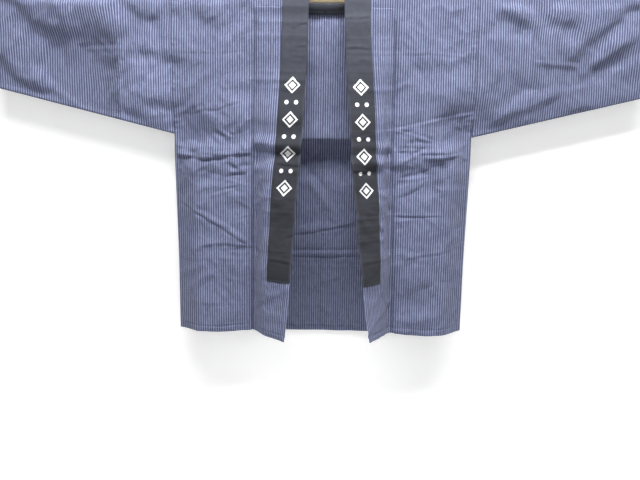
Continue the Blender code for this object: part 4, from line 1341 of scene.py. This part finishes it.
def weave_group():
    """Plain weave: a height for each yarn, and uneven yarns that vary the colour."""
    nodes, source, result = new_group("Plain weave", ["Yarn"], ["Height", "Unevenness"])
    across, down = nodes.parts(source["Cloth"])
    turn = nodes.math("DIVIDE", 2 * math.pi, source["Yarn"])
    warp = nodes.math("SINE", nodes.times(across, turn))
    weft = nodes.math("SINE", nodes.times(down, turn))
    over_under = nodes.times(warp, weft)
    slubs = nodes.streaks(source["Cloth"], (1400.0, 90.0, 1.0))
    picks = nodes.streaks(source["Cloth"], (90.0, 1400.0, 1.0))
    uneven = nodes.plus(slubs, picks)
    nodes.put(nodes.plus(over_under, uneven), result["Height"])
    nodes.put(uneven, result["Unevenness"])


def ageing_and_painted_light_group():
    """Soft fading in patches, paler lines where edges and folds have rubbed, and painted light and
    shade.
    """
    inputs = ["Wear", "Fading", "Pale_gain", "Patchy"]
    nodes, source, result = new_group("Worn cotton and painted light", inputs, ["Paleness"])
    patches = nodes.noise(source["Cloth"], 9.0, 3.0)
    mottle = nodes.noise(source["Cloth"], 70.0, 3.0)
    missing = nodes.times(nodes.ramp(mottle, 0.7, 0.3), source["Patchy"])
    rubbed_and_painted = nodes.times(source["Wear"], nodes.minus(1.0, missing))
    both = nodes.times_plus(mottle, 0.5, patches)
    faded = nodes.times(nodes.minus(both, 0.75), source["Fading"])
    nodes.put(nodes.times_plus(rubbed_and_painted, source["Pale_gain"], faded), result["Paleness"])


COTTON_RELIEF = (0.00006, 0.8)  # the height of the cottons' weave, and its strength
WHITE = (1.0, 1.0, 1.0, 1.0)


def new_material(name, **constants):
    """A material with an empty tree but for its shader, whose constants are set by name."""
    material = bpy.data.materials.new(name)
    material.use_nodes = True
    shader = material.node_tree.nodes["Principled BSDF"]
    for socket, value in constants.items():
        shader.inputs[socket.replace("_", " ")].default_value = value
    return material, Nodes(material.node_tree), shader


def opaque(colour):
    """A colour with its alpha."""
    return (*colour, 1.0)


def cotton_weave(nodes, sizes, fading, pale_gain, patchy):
    """The cloth coordinates of a piece of cotton, its weave, and how pale wear and painted light
    make it.
    """
    cloth = nodes.add("ShaderNodeUVMap", uv_map="cloth").outputs["UV"]
    wear_and_painted_light = nodes.add("ShaderNodeAttribute", attribute_name="wear_and_painted_light").outputs["Fac"]
    weave = nodes.group("Plain weave", Cloth=cloth, Yarn=sizes.yarn)
    ageing_and_light = {"Fading": fading, "Pale_gain": pale_gain, "Patchy": patchy}
    paleness = nodes.group("Worn cotton and painted light", Cloth=cloth, Wear=wear_and_painted_light, **ageing_and_light)["Paleness"]
    return cloth, weave, paleness


def lift(nodes, colour, paleness):
    """A colour made paler, or darker where the paleness is below 0."""
    gain = nodes.plus(paleness, 1.0)
    scaled = nodes.add("ShaderNodeVectorMath", {0: colour, "Scale": gain}, operation="SCALE")
    return scaled.outputs["Vector"]


def striped_cotton(sizes, colours):
    """Navy cotton with a pale twisted yarn in every few, which makes the stripes."""
    material, nodes, shader = new_material("Striped cotton", Roughness=0.92, Sheen_Weight=0.10)
    cloth, weave, paleness = cotton_weave(nodes, sizes, fading=0.22, pale_gain=0.30, patchy=0.8)
    across, down = nodes.parts(cloth)
    wander = nodes.streaks(cloth, (160.0, 7.0, 1.0))
    wandered = nodes.times_plus(wander, STRIPE_WANDER, across)
    turns = nodes.math("DIVIDE", wandered, sizes.stripe_pitch)
    middle = nodes.math("ABSOLUTE", nodes.minus(nodes.math("FRACT", turns), 0.5))
    half = sizes.stripe_width / sizes.stripe_pitch / 2
    past_edge = nodes.ramp(middle, half * (1 - STRIPE_SOFT), half * (1 + STRIPE_SOFT))
    line = nodes.minus(1.0, past_edge)
    slanted = nodes.plus(down, nodes.times(across, TWIST_SLANT))
    twist = nodes.math("SINE", nodes.times(slanted, 2 * math.pi / sizes.twist_length))
    each = nodes.streaks(cloth, (330.0, 60.0, 1.0), 3.0)
    strength = nodes.times_plus(each, 1.3, 0.12)
    strength = nodes.times_plus(twist, 0.26, strength)
    mask = nodes.times(line, strength)
    colour = nodes.mix(mask, opaque(colours.ground), opaque(colours.stripe))
    yarn_tone = nodes.times_plus(weave["Unevenness"], 0.8, -0.8)
    colour = lift(nodes, colour, nodes.plus(paleness, yarn_tone))
    raised = nodes.times_plus(mask, 0.6, weave["Height"])
    nodes.finish(shader, colour, raised, *COTTON_RELIEF)
    return material


def motif_mask(nodes, across, down, sizes):
    """Lozenges up the outer ply of the collar, with a pair of dots between each two."""
    steps = nodes.math("DIVIDE", nodes.minus(down, sizes.motif_start), sizes.motif_pitch)
    in_cell = nodes.minus(nodes.math("FRACT", steps), 0.5)
    up = nodes.math("ABSOLUTE", nodes.times(in_cell, sizes.motif_pitch))
    out = nodes.math("ABSOLUTE", nodes.minus(across, COLLAR_WIDTH / 2))
    half = sizes.motif_width / 2
    away = nodes.plus(out, nodes.times(up, LOZENGE_SLIM))
    line = nodes.math("COMPARE", away, half * (1 - LOZENGE_LINE), half * LOZENGE_LINE)
    core = nodes.math("LESS_THAN", away, half * LOZENGE_CORE)
    lozenge = nodes.math("MAXIMUM", line, core)
    beside = nodes.minus(out, DOTS_APART / 2)
    squared = nodes.times_plus(beside, beside, nodes.times(up, up))
    dots = nodes.math("LESS_THAN", squared, DOT_RADIUS**2)
    odd = nodes.math("MODULO", nodes.math("FLOOR", steps), 2.0)
    shape = nodes.add("ShaderNodeMix", {0: odd, 2: lozenge, 3: dots}).outputs[0]
    last = nodes.math("LESS_THAN", steps, float(MOTIF_CELLS))
    in_range = nodes.times(nodes.math("GREATER_THAN", steps, 0.0), last)
    outer_ply = nodes.math("LESS_THAN", across, COLLAR_WIDTH)
    return nodes.times(shape, nodes.times(in_range, outer_ply))


def black_cotton(sizes, colours):
    """Soft black cotton, a little faded and lint-flecked, with a row of pale dyed motifs."""
    material, nodes, shader = new_material("Black cotton", Roughness=0.95, Sheen_Weight=0.08)
    cloth, weave, paleness = cotton_weave(nodes, sizes, fading=0.3, pale_gain=1.2, patchy=0.2)
    across, down = nodes.parts(cloth)
    lint = nodes.times(nodes.ramp(nodes.noise(cloth, 900.0, 1.0), 0.74, 0.80), 0.5)
    ground = nodes.mix(lint, opaque(colours.collar), opaque(colours.lint))
    blur = nodes.times(nodes.minus(nodes.noise(cloth, 420.0), 0.5), MOTIF_BLUR)
    blurred = (nodes.plus(place, blur) for place in (across, down))
    colour = nodes.mix(motif_mask(nodes, *blurred, sizes), ground, opaque(colours.motif))
    tone = nodes.times_plus(weave["Unevenness"], 0.4, -0.4)
    colour = lift(nodes, colour, nodes.plus(paleness, tone))
    nodes.finish(shader, colour, weave["Height"], *COTTON_RELIEF)
    return material


def pale_wood(colours):
    """A planed wooden rod: long grain, a few darker lines and small pores."""
    surface = {"Roughness": 0.48, "Coat_Weight": 0.15, "Coat_Roughness": 0.35}
    material, nodes, shader = new_material("Pale wood", **surface)
    place = nodes.add("ShaderNodeTexCoord").outputs["Object"]
    fine = nodes.streaks(place, (40.0, 900.0, 900.0))
    line = nodes.ramp(nodes.streaks(place, (6.0, 150.0, 150.0), 4.0), 0.38, 0.68)
    colour = nodes.mix(line, opaque(colours.wood), opaque(colours.wood_grain))
    colour = lift(nodes, colour, nodes.times_plus(fine, 0.3, -0.15))
    nodes.put(nodes.times_plus(line, 0.2, 0.38), shader.inputs["Roughness"])
    nodes.finish(shader, colour, fine, 0.0001, 0.6)
    return material


def hook_steel(colours):
    """Drawn steel wire, with fine lines and a few duller spots."""
    material, nodes, shader = new_material("Hook steel", Metallic=1.0, Roughness=0.3)
    place = nodes.add("ShaderNodeTexCoord").outputs["Object"]
    spots = nodes.ramp(nodes.noise(place, 160.0, 3.0), 0.45, 0.75)
    lines = nodes.noise(place, 1500.0, 2.0)
    colour = nodes.mix(spots, opaque(colours.steel), opaque(colours.steel_dull))
    nodes.put(nodes.times_plus(lines, 0.25, 0.18), shader.inputs["Roughness"])
    nodes.finish(shader, colour, lines, 0.00005, 0.5)
    return material


def sewing_thread(colours):
    """Cotton thread, with the twist of its plies."""
    material, nodes, shader = new_material("Sewing thread", Roughness=0.8, Sheen_Weight=0.2)
    place = nodes.add("ShaderNodeTexCoord").outputs["Object"]
    plies = nodes.noise(place, 2500.0, 1.0)
    colour = nodes.mix(plies, opaque(colours.thread), opaque(colours.stripe))
    nodes.finish(shader, colour, plies, 0.00008, 0.6)
    return material


def stage_material(name, colour, glow, one_sided=False):
    """A plain matt surface with a little light of its own, which can be clear from behind."""
    material, nodes, shader = new_material(name, Base_Color=opaque(colour), Roughness=0.95)
    shader.inputs["Emission Color"].default_value = WHITE
    shader.inputs["Emission Strength"].default_value = glow
    if one_sided:
        seen = nodes.add("ShaderNodeLightPath").outputs["Is Camera Ray"]
        nodes.put(nodes.times(seen, glow), shader.inputs["Emission Strength"])
        behind = nodes.add("ShaderNodeNewGeometry").outputs["Backfacing"]
        clear = nodes.add("ShaderNodeBsdfTransparent").outputs[0]
        shaders = {0: behind, 1: shader.outputs[0], 2: clear}
        choice = nodes.add("ShaderNodeMixShader", shaders).outputs[0]
        nodes.put(choice, nodes.tree.nodes["Material Output"].inputs["Surface"])
    return material


def nothing_selected():
    """Deselect everything, so that an operator acts on what it adds."""
    bpy.ops.object.select_all(action="DESELECT")


def cotton(context, name, make):
    """A cotton by its name, made with the shared groups when it is first asked for."""
    if "Plain weave" not in bpy.data.node_groups:
        weave_group()
        ageing_and_painted_light_group()
    settings = context.scene
    ready = bpy.data.materials.get(name)
    return ready or make(settings.happi_sizes, settings.happi_colours)


def attach(piece, node):
    """The piece rides on the coat's one body, and stands for its CAD node."""
    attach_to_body(piece, "root")
    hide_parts(node)


def length_property(name, description, default):
    """A length in metres, for the sidebar."""
    return FloatProperty(name=name, description=description, default=default, unit="LENGTH")


def colour_property(name, description, default):
    """A colour, for the sidebar."""
    limits = {"size": 3, "min": 0.0, "max": 1.0}
    words = {"name": name, "description": description}
    return FloatVectorProperty(default=default, subtype="COLOR", **words, **limits)


class HappiSizes(bpy.types.PropertyGroup):
    """The sizes of the cloth, its yarns and its sewing."""

    cloth: length_property("Cloth", "Thickness of the cotton", 0.0009)
    yarn: length_property("Yarn", "Pitch of two yarns in the weave", 0.0011)
    stripe_pitch: length_property("Stripe pitch", "From one stripe to the next", 0.0048)
    stripe_width: length_property("Stripe width", "Width of a pale stripe", 0.0019)
    twist_length: length_property("Twist", "Length of one turn of the pale yarn", 0.0034)
    motif_start: length_property("First motif", "From the collar's end to its motifs", 0.172)
    motif_pitch: length_property("Motif pitch", "From one motif to the next", 0.0335)
    motif_width: length_property("Motif width", "Width of a motif", 0.032)
    stitch: length_property("Stitch", "Length of one stitch", 0.0030)
    stitch_pitch: length_property("Stitch pitch", "From one stitch to the next", 0.0046)
    thread: length_property("Thread", "Thickness of the thread", 0.0005)


class HappiColours(bpy.types.PropertyGroup):
    """The colours of the cloth and the hanger."""

    ground: colour_property("Ground", "Navy of the striped cotton", (0.066, 0.077, 0.158))
    stripe: colour_property("Stripe", "Pale yarn of the stripes", (0.295, 0.325, 0.46))
    collar: colour_property("Collar", "Black cotton of the collar", (0.0235, 0.0255, 0.034))
    lint: colour_property("Lint", "Flecks on the collar", (0.20, 0.20, 0.21))
    motif: colour_property("Motif", "Pale dyed motifs on the collar", (0.78, 0.79, 0.80))
    thread: colour_property("Thread", "Sewing thread", (0.10, 0.11, 0.20))
    wood: colour_property("Wood", "Pale wood of the rod", (0.74, 0.61, 0.35))
    wood_grain: colour_property("Grain", "Darker grain of the rod", (0.40, 0.30, 0.15))
    steel: colour_property("Steel", "Steel of the hook", (0.62, 0.62, 0.62))
    steel_dull: colour_property("Dull steel", "Duller spots of the hook", (0.40, 0.40, 0.41))


class HappiStudio(bpy.types.PropertyGroup):
    """The plain surroundings and their light."""

    tube_power: FloatProperty(
        name="Tubes", description="Power of each light above the front", default=40.0, unit="POWER"
    )
    front_power: FloatProperty(
        name="Front light", description="Power of the light in front", default=7.0, unit="POWER"
    )
    fill: FloatProperty(
        name="Fill", description="Strength of the light from all round", default=0.15
    )
    wall_glow: FloatProperty(
        name="Wall glow", description="The backdrop's own light, as a camera sees it", default=0.43
    )
    pale: colour_property("Backdrop", "Floor and backdrop", (0.80, 0.80, 0.80))


class HAPPI_OT_bodies(bpy.types.Operator):
    """Add the two halves of the body"""

    bl_idname = "happi.bodies"
    bl_label = "Body panels"

    def execute(self, context):
        material = cotton(context, "Striped cotton", striped_cotton)
        for side in (RIGHT, LEFT):
            piece = make_body(side, material, context.scene.happi_sizes.cloth)
            attach(piece, "body_" + SIDE_NAMES[side])
        return {"FINISHED"}


class HAPPI_OT_okumi(bpy.types.Operator):
    """Add the narrow okumi panels that widen the fronts"""

    bl_idname = "happi.okumi"
    bl_label = "Okumi panels"

    def execute(self, context):
        material = cotton(context, "Striped cotton", striped_cotton)
        for side in (RIGHT, LEFT):
            piece = make_okumi(side, material, context.scene.happi_sizes.cloth)
            attach(piece, "okumi_" + SIDE_NAMES[side])
        return {"FINISHED"}


class HAPPI_OT_sleeves(bpy.types.Operator):
    """Add both sleeves, each an inset and an outer part"""

    bl_idname = "happi.sleeves"
    bl_label = "Sleeves"

    def execute(self, context):
        material = cotton(context, "Striped cotton", striped_cotton)
        thickness = context.scene.happi_sizes.cloth
        parts = (
            ("_sleeve_inset", "sleeve_inset_", ARMHOLE_OUT + SEAM_GAP, INSET_OUT),
            ("_outer_sleeve", "sleeve_", INSET_OUT + SEAM_GAP, CUFF_OUT),
        )
        for side in (RIGHT, LEFT):
            for name, node, start, end in parts:
                piece = make_sleeve_part(name, side, start, end, material, thickness)
                attach(piece, node + SIDE_NAMES[side])
        return {"FINISHED"}


class HAPPI_OT_collar(bpy.types.Operator):
    """Add the black collar band"""

    bl_idname = "happi.collar"
    bl_label = "Collar"

    def execute(self, context):
        material = cotton(context, "Black cotton", black_cotton)
        piece = make_collar(material, context.scene.happi_sizes.cloth)
        attach(piece, "collar")
        neck = np.array([neck_point(LEFT, step) for step in range(NECK_STEPS + 1)])
        return {"FINISHED"}


def stitch_shape(sizes):
    """One stitch, modelled along X: a short thread whose ends dive into the cloth."""
    nothing_selected()
    bpy.ops.mesh.primitive_uv_sphere_add(
        segments=STITCH_SIDES, ring_count=STITCH_SIDES, radius=0.5, rotation=(0, math.pi / 2, 0)
    )
    bpy.ops.object.transform_apply(location=True, rotation=True, scale=True)
    thread = bpy.context.object
    bpy.ops.object.mode_set(mode="EDIT")
    bpy.ops.mesh.select_all(action="SELECT")
    bpy.ops.transform.resize(value=(sizes.stitch, sizes.thread, sizes.thread))
    bpy.ops.mesh.select_all(action="DESELECT")
    bpy.ops.object.mode_set(mode="OBJECT")
    for vertex in thread.data.vertices:
        vertex.select = abs(vertex.co.x) > STITCH_FLAT * sizes.stitch
    bpy.ops.object.mode_set(mode="EDIT")
    bpy.ops.transform.translate(value=(0, 0, -STITCH_DIVES * sizes.thread))
    bpy.ops.object.mode_set(mode="OBJECT")
    points = np.array([vertex.co for vertex in thread.data.vertices])
    faces = [list(face.vertices) for face in thread.data.polygons]
    bpy.data.objects.remove(thread)
    return points, faces


def walk_line(line, pitch):
    """Places a pitch apart along a line of points, and the line's direction at each."""
    steps = np.linalg.norm(np.diff(line, axis=0), axis=1)
    run = np.concatenate(([0.0], np.cumsum(steps)))
    at = np.arange(pitch, run[-1] - pitch, pitch)
    places, ahead = (
        np.stack([np.interp(here, run, line[:, k]) for k in range(3)], axis=1)
        for here in (at, at + pitch / 4)
    )
    direction = ahead - places
    return places, direction / np.linalg.norm(direction, axis=1)[:, None]


def neck_line(side):
    """The line of stitches along the inner ply of the collar at the back of the neck."""
    places = []
    off = COLLAR_HALF_PLY + NECK_STITCH_OFF
    for step in range(NECK_STEPS - NECK_BACK_STEPS, NECK_STEPS + 1):
        width, normal = collar_directions(side, step)
        places.append(neck_point(side, step) + NECK_STITCH_UP * width - off * normal)
    return np.array(places)


def hem_line(side, face_grid, hem, start, points):
    """The line of stitches along the hem of the front or the back."""
    outs = np.linspace(start, float(side_out(LAST_ROW_DROP)) - STITCHES_STOP, points)
    return face_grid(side * outs, hem(outs) - HEM_DEPTH, hem(outs))[:, PLACE]


def hem_lines(side):
    """The lines of stitches round the hem and the cuff, each with the way that it faces."""
    start = float(seam_out(side, LAST_ROW_DROP)) + STITCHES_START
    own_hem = partial(front_hem, side)
    front = hem_line(side, front_grid, own_hem, start, FRONT_LINE_POINTS)
    back = hem_line(side, back_grid, back_hem, STITCHES_START, BACK_LINE_POINTS)
    out = CUFF_OUT - HEM_DEPTH
    end = float(underarm_drop(out)) - STITCHES_STOP
    drops = np.linspace(CUFF_STITCHES_TOP, end, FRONT_LINE_POINTS)
    cuff_front = front_grid(side * out, drops)[:, PLACE]
    cuff_back = back_grid(side * out, drops)[:, PLACE]
    faces = (FORWARDS, BACKWARDS, FORWARDS, BACKWARDS)
    return list(zip((front, back, cuff_front, cuff_back), faces))


def stitches_along(line, facing, size, shape, sizes):
    """The points of each stitch of a line, on the side of the cloth that it faces."""
    facing = np.array(facing, float)
    raised = sizes.cloth / 2 + STITCH_RAISED * sizes.thread
    for place, direction in zip(*walk_line(line, sizes.stitch_pitch)):
        sideways = np.cross(facing, direction)
        upwards = np.cross(direction, sideways)
        turned = np.stack((direction, sideways, upwards))
        yield size * shape @ turned + place + raised * facing


class HAPPI_OT_stitches(bpy.types.Operator):
    """Add the stitches that hold the hems, and the collar at the back of the neck"""

    bl_idname = "happi.stitches"
    bl_label = "Stitches"

    def execute(self, context):
        sizes = context.scene.happi_sizes
        shape, shape_faces = stitch_shape(sizes)
        neck = [(neck_line(side), FORWARDS, NECK_THREAD) for side in (RIGHT, LEFT)]
        hems = [(*line, 1.0) for side in (RIGHT, LEFT) for line in hem_lines(side)]
        points = [
            stitch for line in neck + hems for stitch in stitches_along(*line, shape, sizes)
        ]
        faces = [
            [i * len(shape) + corner for corner in face]
            for i in range(len(points))
            for face in shape_faces
        ]
        data = bpy.data.meshes.new("hem_stitches")
        data.from_pydata(np.concatenate(points).tolist(), [], faces)
        data.shade_smooth()
        data.materials.append(sewing_thread(context.scene.happi_colours))
        piece = bpy.data.objects.new("hem_stitches", data)
        context.collection.objects.link(piece)
        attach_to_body(piece, "root")
        return {"FINISHED"}


class HAPPI_OT_hanger(bpy.types.Operator):
    """Finish the rod and its hook"""

    bl_idname = "happi.hanger"
    bl_label = "Rod and hook"

    def execute(self, context):
        colours = context.scene.happi_colours
        finishes = (
            ("hanger_rod", pale_wood, "rod_wood"),
            ("hanger_hook", hook_steel, "hook_steel"),
        )
        for name, make, slot in finishes:
            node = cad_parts[name]
            node.data.materials.clear()
            node.data.materials.append(make(colours))
        return {"FINISHED"}


# The stage and the camera.
WALL_Y = 0.045
FLOOR_Z = -1.40
STAGE_SIZE = 9.0
TUBES_X = 0.15
TUBES_Y = (-0.72, -1.08)
TUBES_Z = 1.27
TUBE_SIZE = (2.1, 0.16)
LIGHTS_AIM = (0.0, 0.0, -0.40)
FRONT_PLACE = (0.0, -2.1, 0.75)
FRONT_SIZE = (1.8, 1.2)
CAMERA_PLACE = (-0.003, -1.763, -0.2025)
CAMERA_PITCH = math.radians(-12.3)
CAMERA_ROLL = math.radians(0.8)
CAMERA_LENS = 48.2


def aimed(place, target):
    """The matrix of a light at a place that points at a target."""
    place = np.array(place)
    back = place - np.array(target)
    back = back / np.linalg.norm(back)
    right = np.cross((0.0, 0.0, 1.0), back)
    right = right / np.linalg.norm(right)
    up = np.cross(back, right)
    return Matrix(np.column_stack((right, up, back, place)).tolist() + [[0, 0, 0, 1]])


def add_light(name, place, size, power):
    """A soft rectangular light, turned to the middle of the coat."""
    light = bpy.data.lights.new(name, "AREA")
    light.energy = power
    light.shape = "RECTANGLE"
    light.size, light.size_y = size
    lamp = bpy.data.objects.new(name, light)
    lamp.matrix_world = aimed(place, LIGHTS_AIM)
    bpy.context.collection.objects.link(lamp)


class HAPPI_OT_studio(bpy.types.Operator):
    """Add the plain backdrop and floor, the light and the camera"""

    bl_idname = "happi.studio"
    bl_label = "Studio"

    def execute(self, context):
        studio = context.scene.happi_studio
        nothing_selected()
        bpy.ops.mesh.primitive_plane_add(size=STAGE_SIZE, location=(0, 0, FLOOR_Z))
        floor = context.object
        floor.name = "studio_floor"
        floor.data.materials.append(stage_material("Pale floor", studio.pale, 0.0))
        nothing_selected()
        middle = (0, WALL_Y, FLOOR_Z + STAGE_SIZE / 2)
        upright = (math.pi / 2, 0, 0)
        bpy.ops.mesh.primitive_plane_add(size=STAGE_SIZE, location=middle, rotation=upright)
        wall = context.object
        wall.name = "studio_backdrop"
        backdrop = stage_material("Pale backdrop", studio.pale, studio.wall_glow, one_sided=True)
        wall.data.materials.append(backdrop)
        for y in TUBES_Y:
            add_light("tube", (TUBES_X, y, TUBES_Z), TUBE_SIZE, studio.tube_power)
        add_light("front light", FRONT_PLACE, FRONT_SIZE, studio.front_power)
        world = bpy.data.worlds.new("studio")
        world.use_nodes = True
        background = world.node_tree.nodes["Background"].inputs
        background["Color"].default_value = WHITE
        background["Strength"].default_value = studio.fill
        context.scene.world = world
        camera = bpy.data.cameras.new("camera")
        camera.lens = CAMERA_LENS
        viewer = bpy.data.objects.new("camera", camera)
        pitch = Matrix.Rotation(math.pi / 2 + CAMERA_PITCH, 4, "X")
        roll = Matrix.Rotation(CAMERA_ROLL, 4, "Z")
        viewer.matrix_world = Matrix.Translation(CAMERA_PLACE) @ (pitch @ roll)
        context.collection.objects.link(viewer)
        context.scene.camera = viewer
        context.scene.view_settings.view_transform = "Standard"
        return {"FINISHED"}


class HAPPI_PT_panel(bpy.types.Panel):
    """The pieces of the coat, and the sizes and colours that they are made with"""

    bl_label = "Happi coat"
    bl_idname = "HAPPI_PT_panel"
    bl_space_type = "VIEW_3D"
    bl_region_type = "UI"
    bl_category = "Happi"

    def draw(self, context):
        """A button for each operator, and a box for each group of properties"""
        for operator in OPERATORS:
            self.layout.operator(operator.bl_idname)
        settings = context.scene
        for group in (settings.happi_sizes, settings.happi_colours, settings.happi_studio):
            box = self.layout.box()
            for name in group.__annotations__:
                box.prop(group, name)


GROUPS = (HappiSizes, HappiColours, HappiStudio)
OPERATORS = (
    HAPPI_OT_bodies,
    HAPPI_OT_okumi,
    HAPPI_OT_sleeves,
    HAPPI_OT_collar,
    HAPPI_OT_stitches,
    HAPPI_OT_hanger,
    HAPPI_OT_studio,
)


def register():
    """Add the properties, the operators and the panel to Blender."""
    for made in (*GROUPS, *OPERATORS, HAPPI_PT_panel):
        bpy.utils.register_class(made)
    bpy.types.Scene.happi_sizes = PointerProperty(type=HappiSizes)
    bpy.types.Scene.happi_colours = PointerProperty(type=HappiColours)
    bpy.types.Scene.happi_studio = PointerProperty(type=HappiStudio)


def unregister():
    """Take them away again."""
    del bpy.types.Scene.happi_studio
    del bpy.types.Scene.happi_colours
    del bpy.types.Scene.happi_sizes
    for made in reversed((*GROUPS, *OPERATORS, HAPPI_PT_panel)):
        bpy.utils.unregister_class(made)


def main():
    """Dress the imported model."""
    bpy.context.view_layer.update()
    register()
    for name in ("bodies", "okumi", "sleeves", "collar", "stitches", "hanger", "studio"):
        getattr(bpy.ops.happi, name)()


if __name__ == "__main__":
    main()
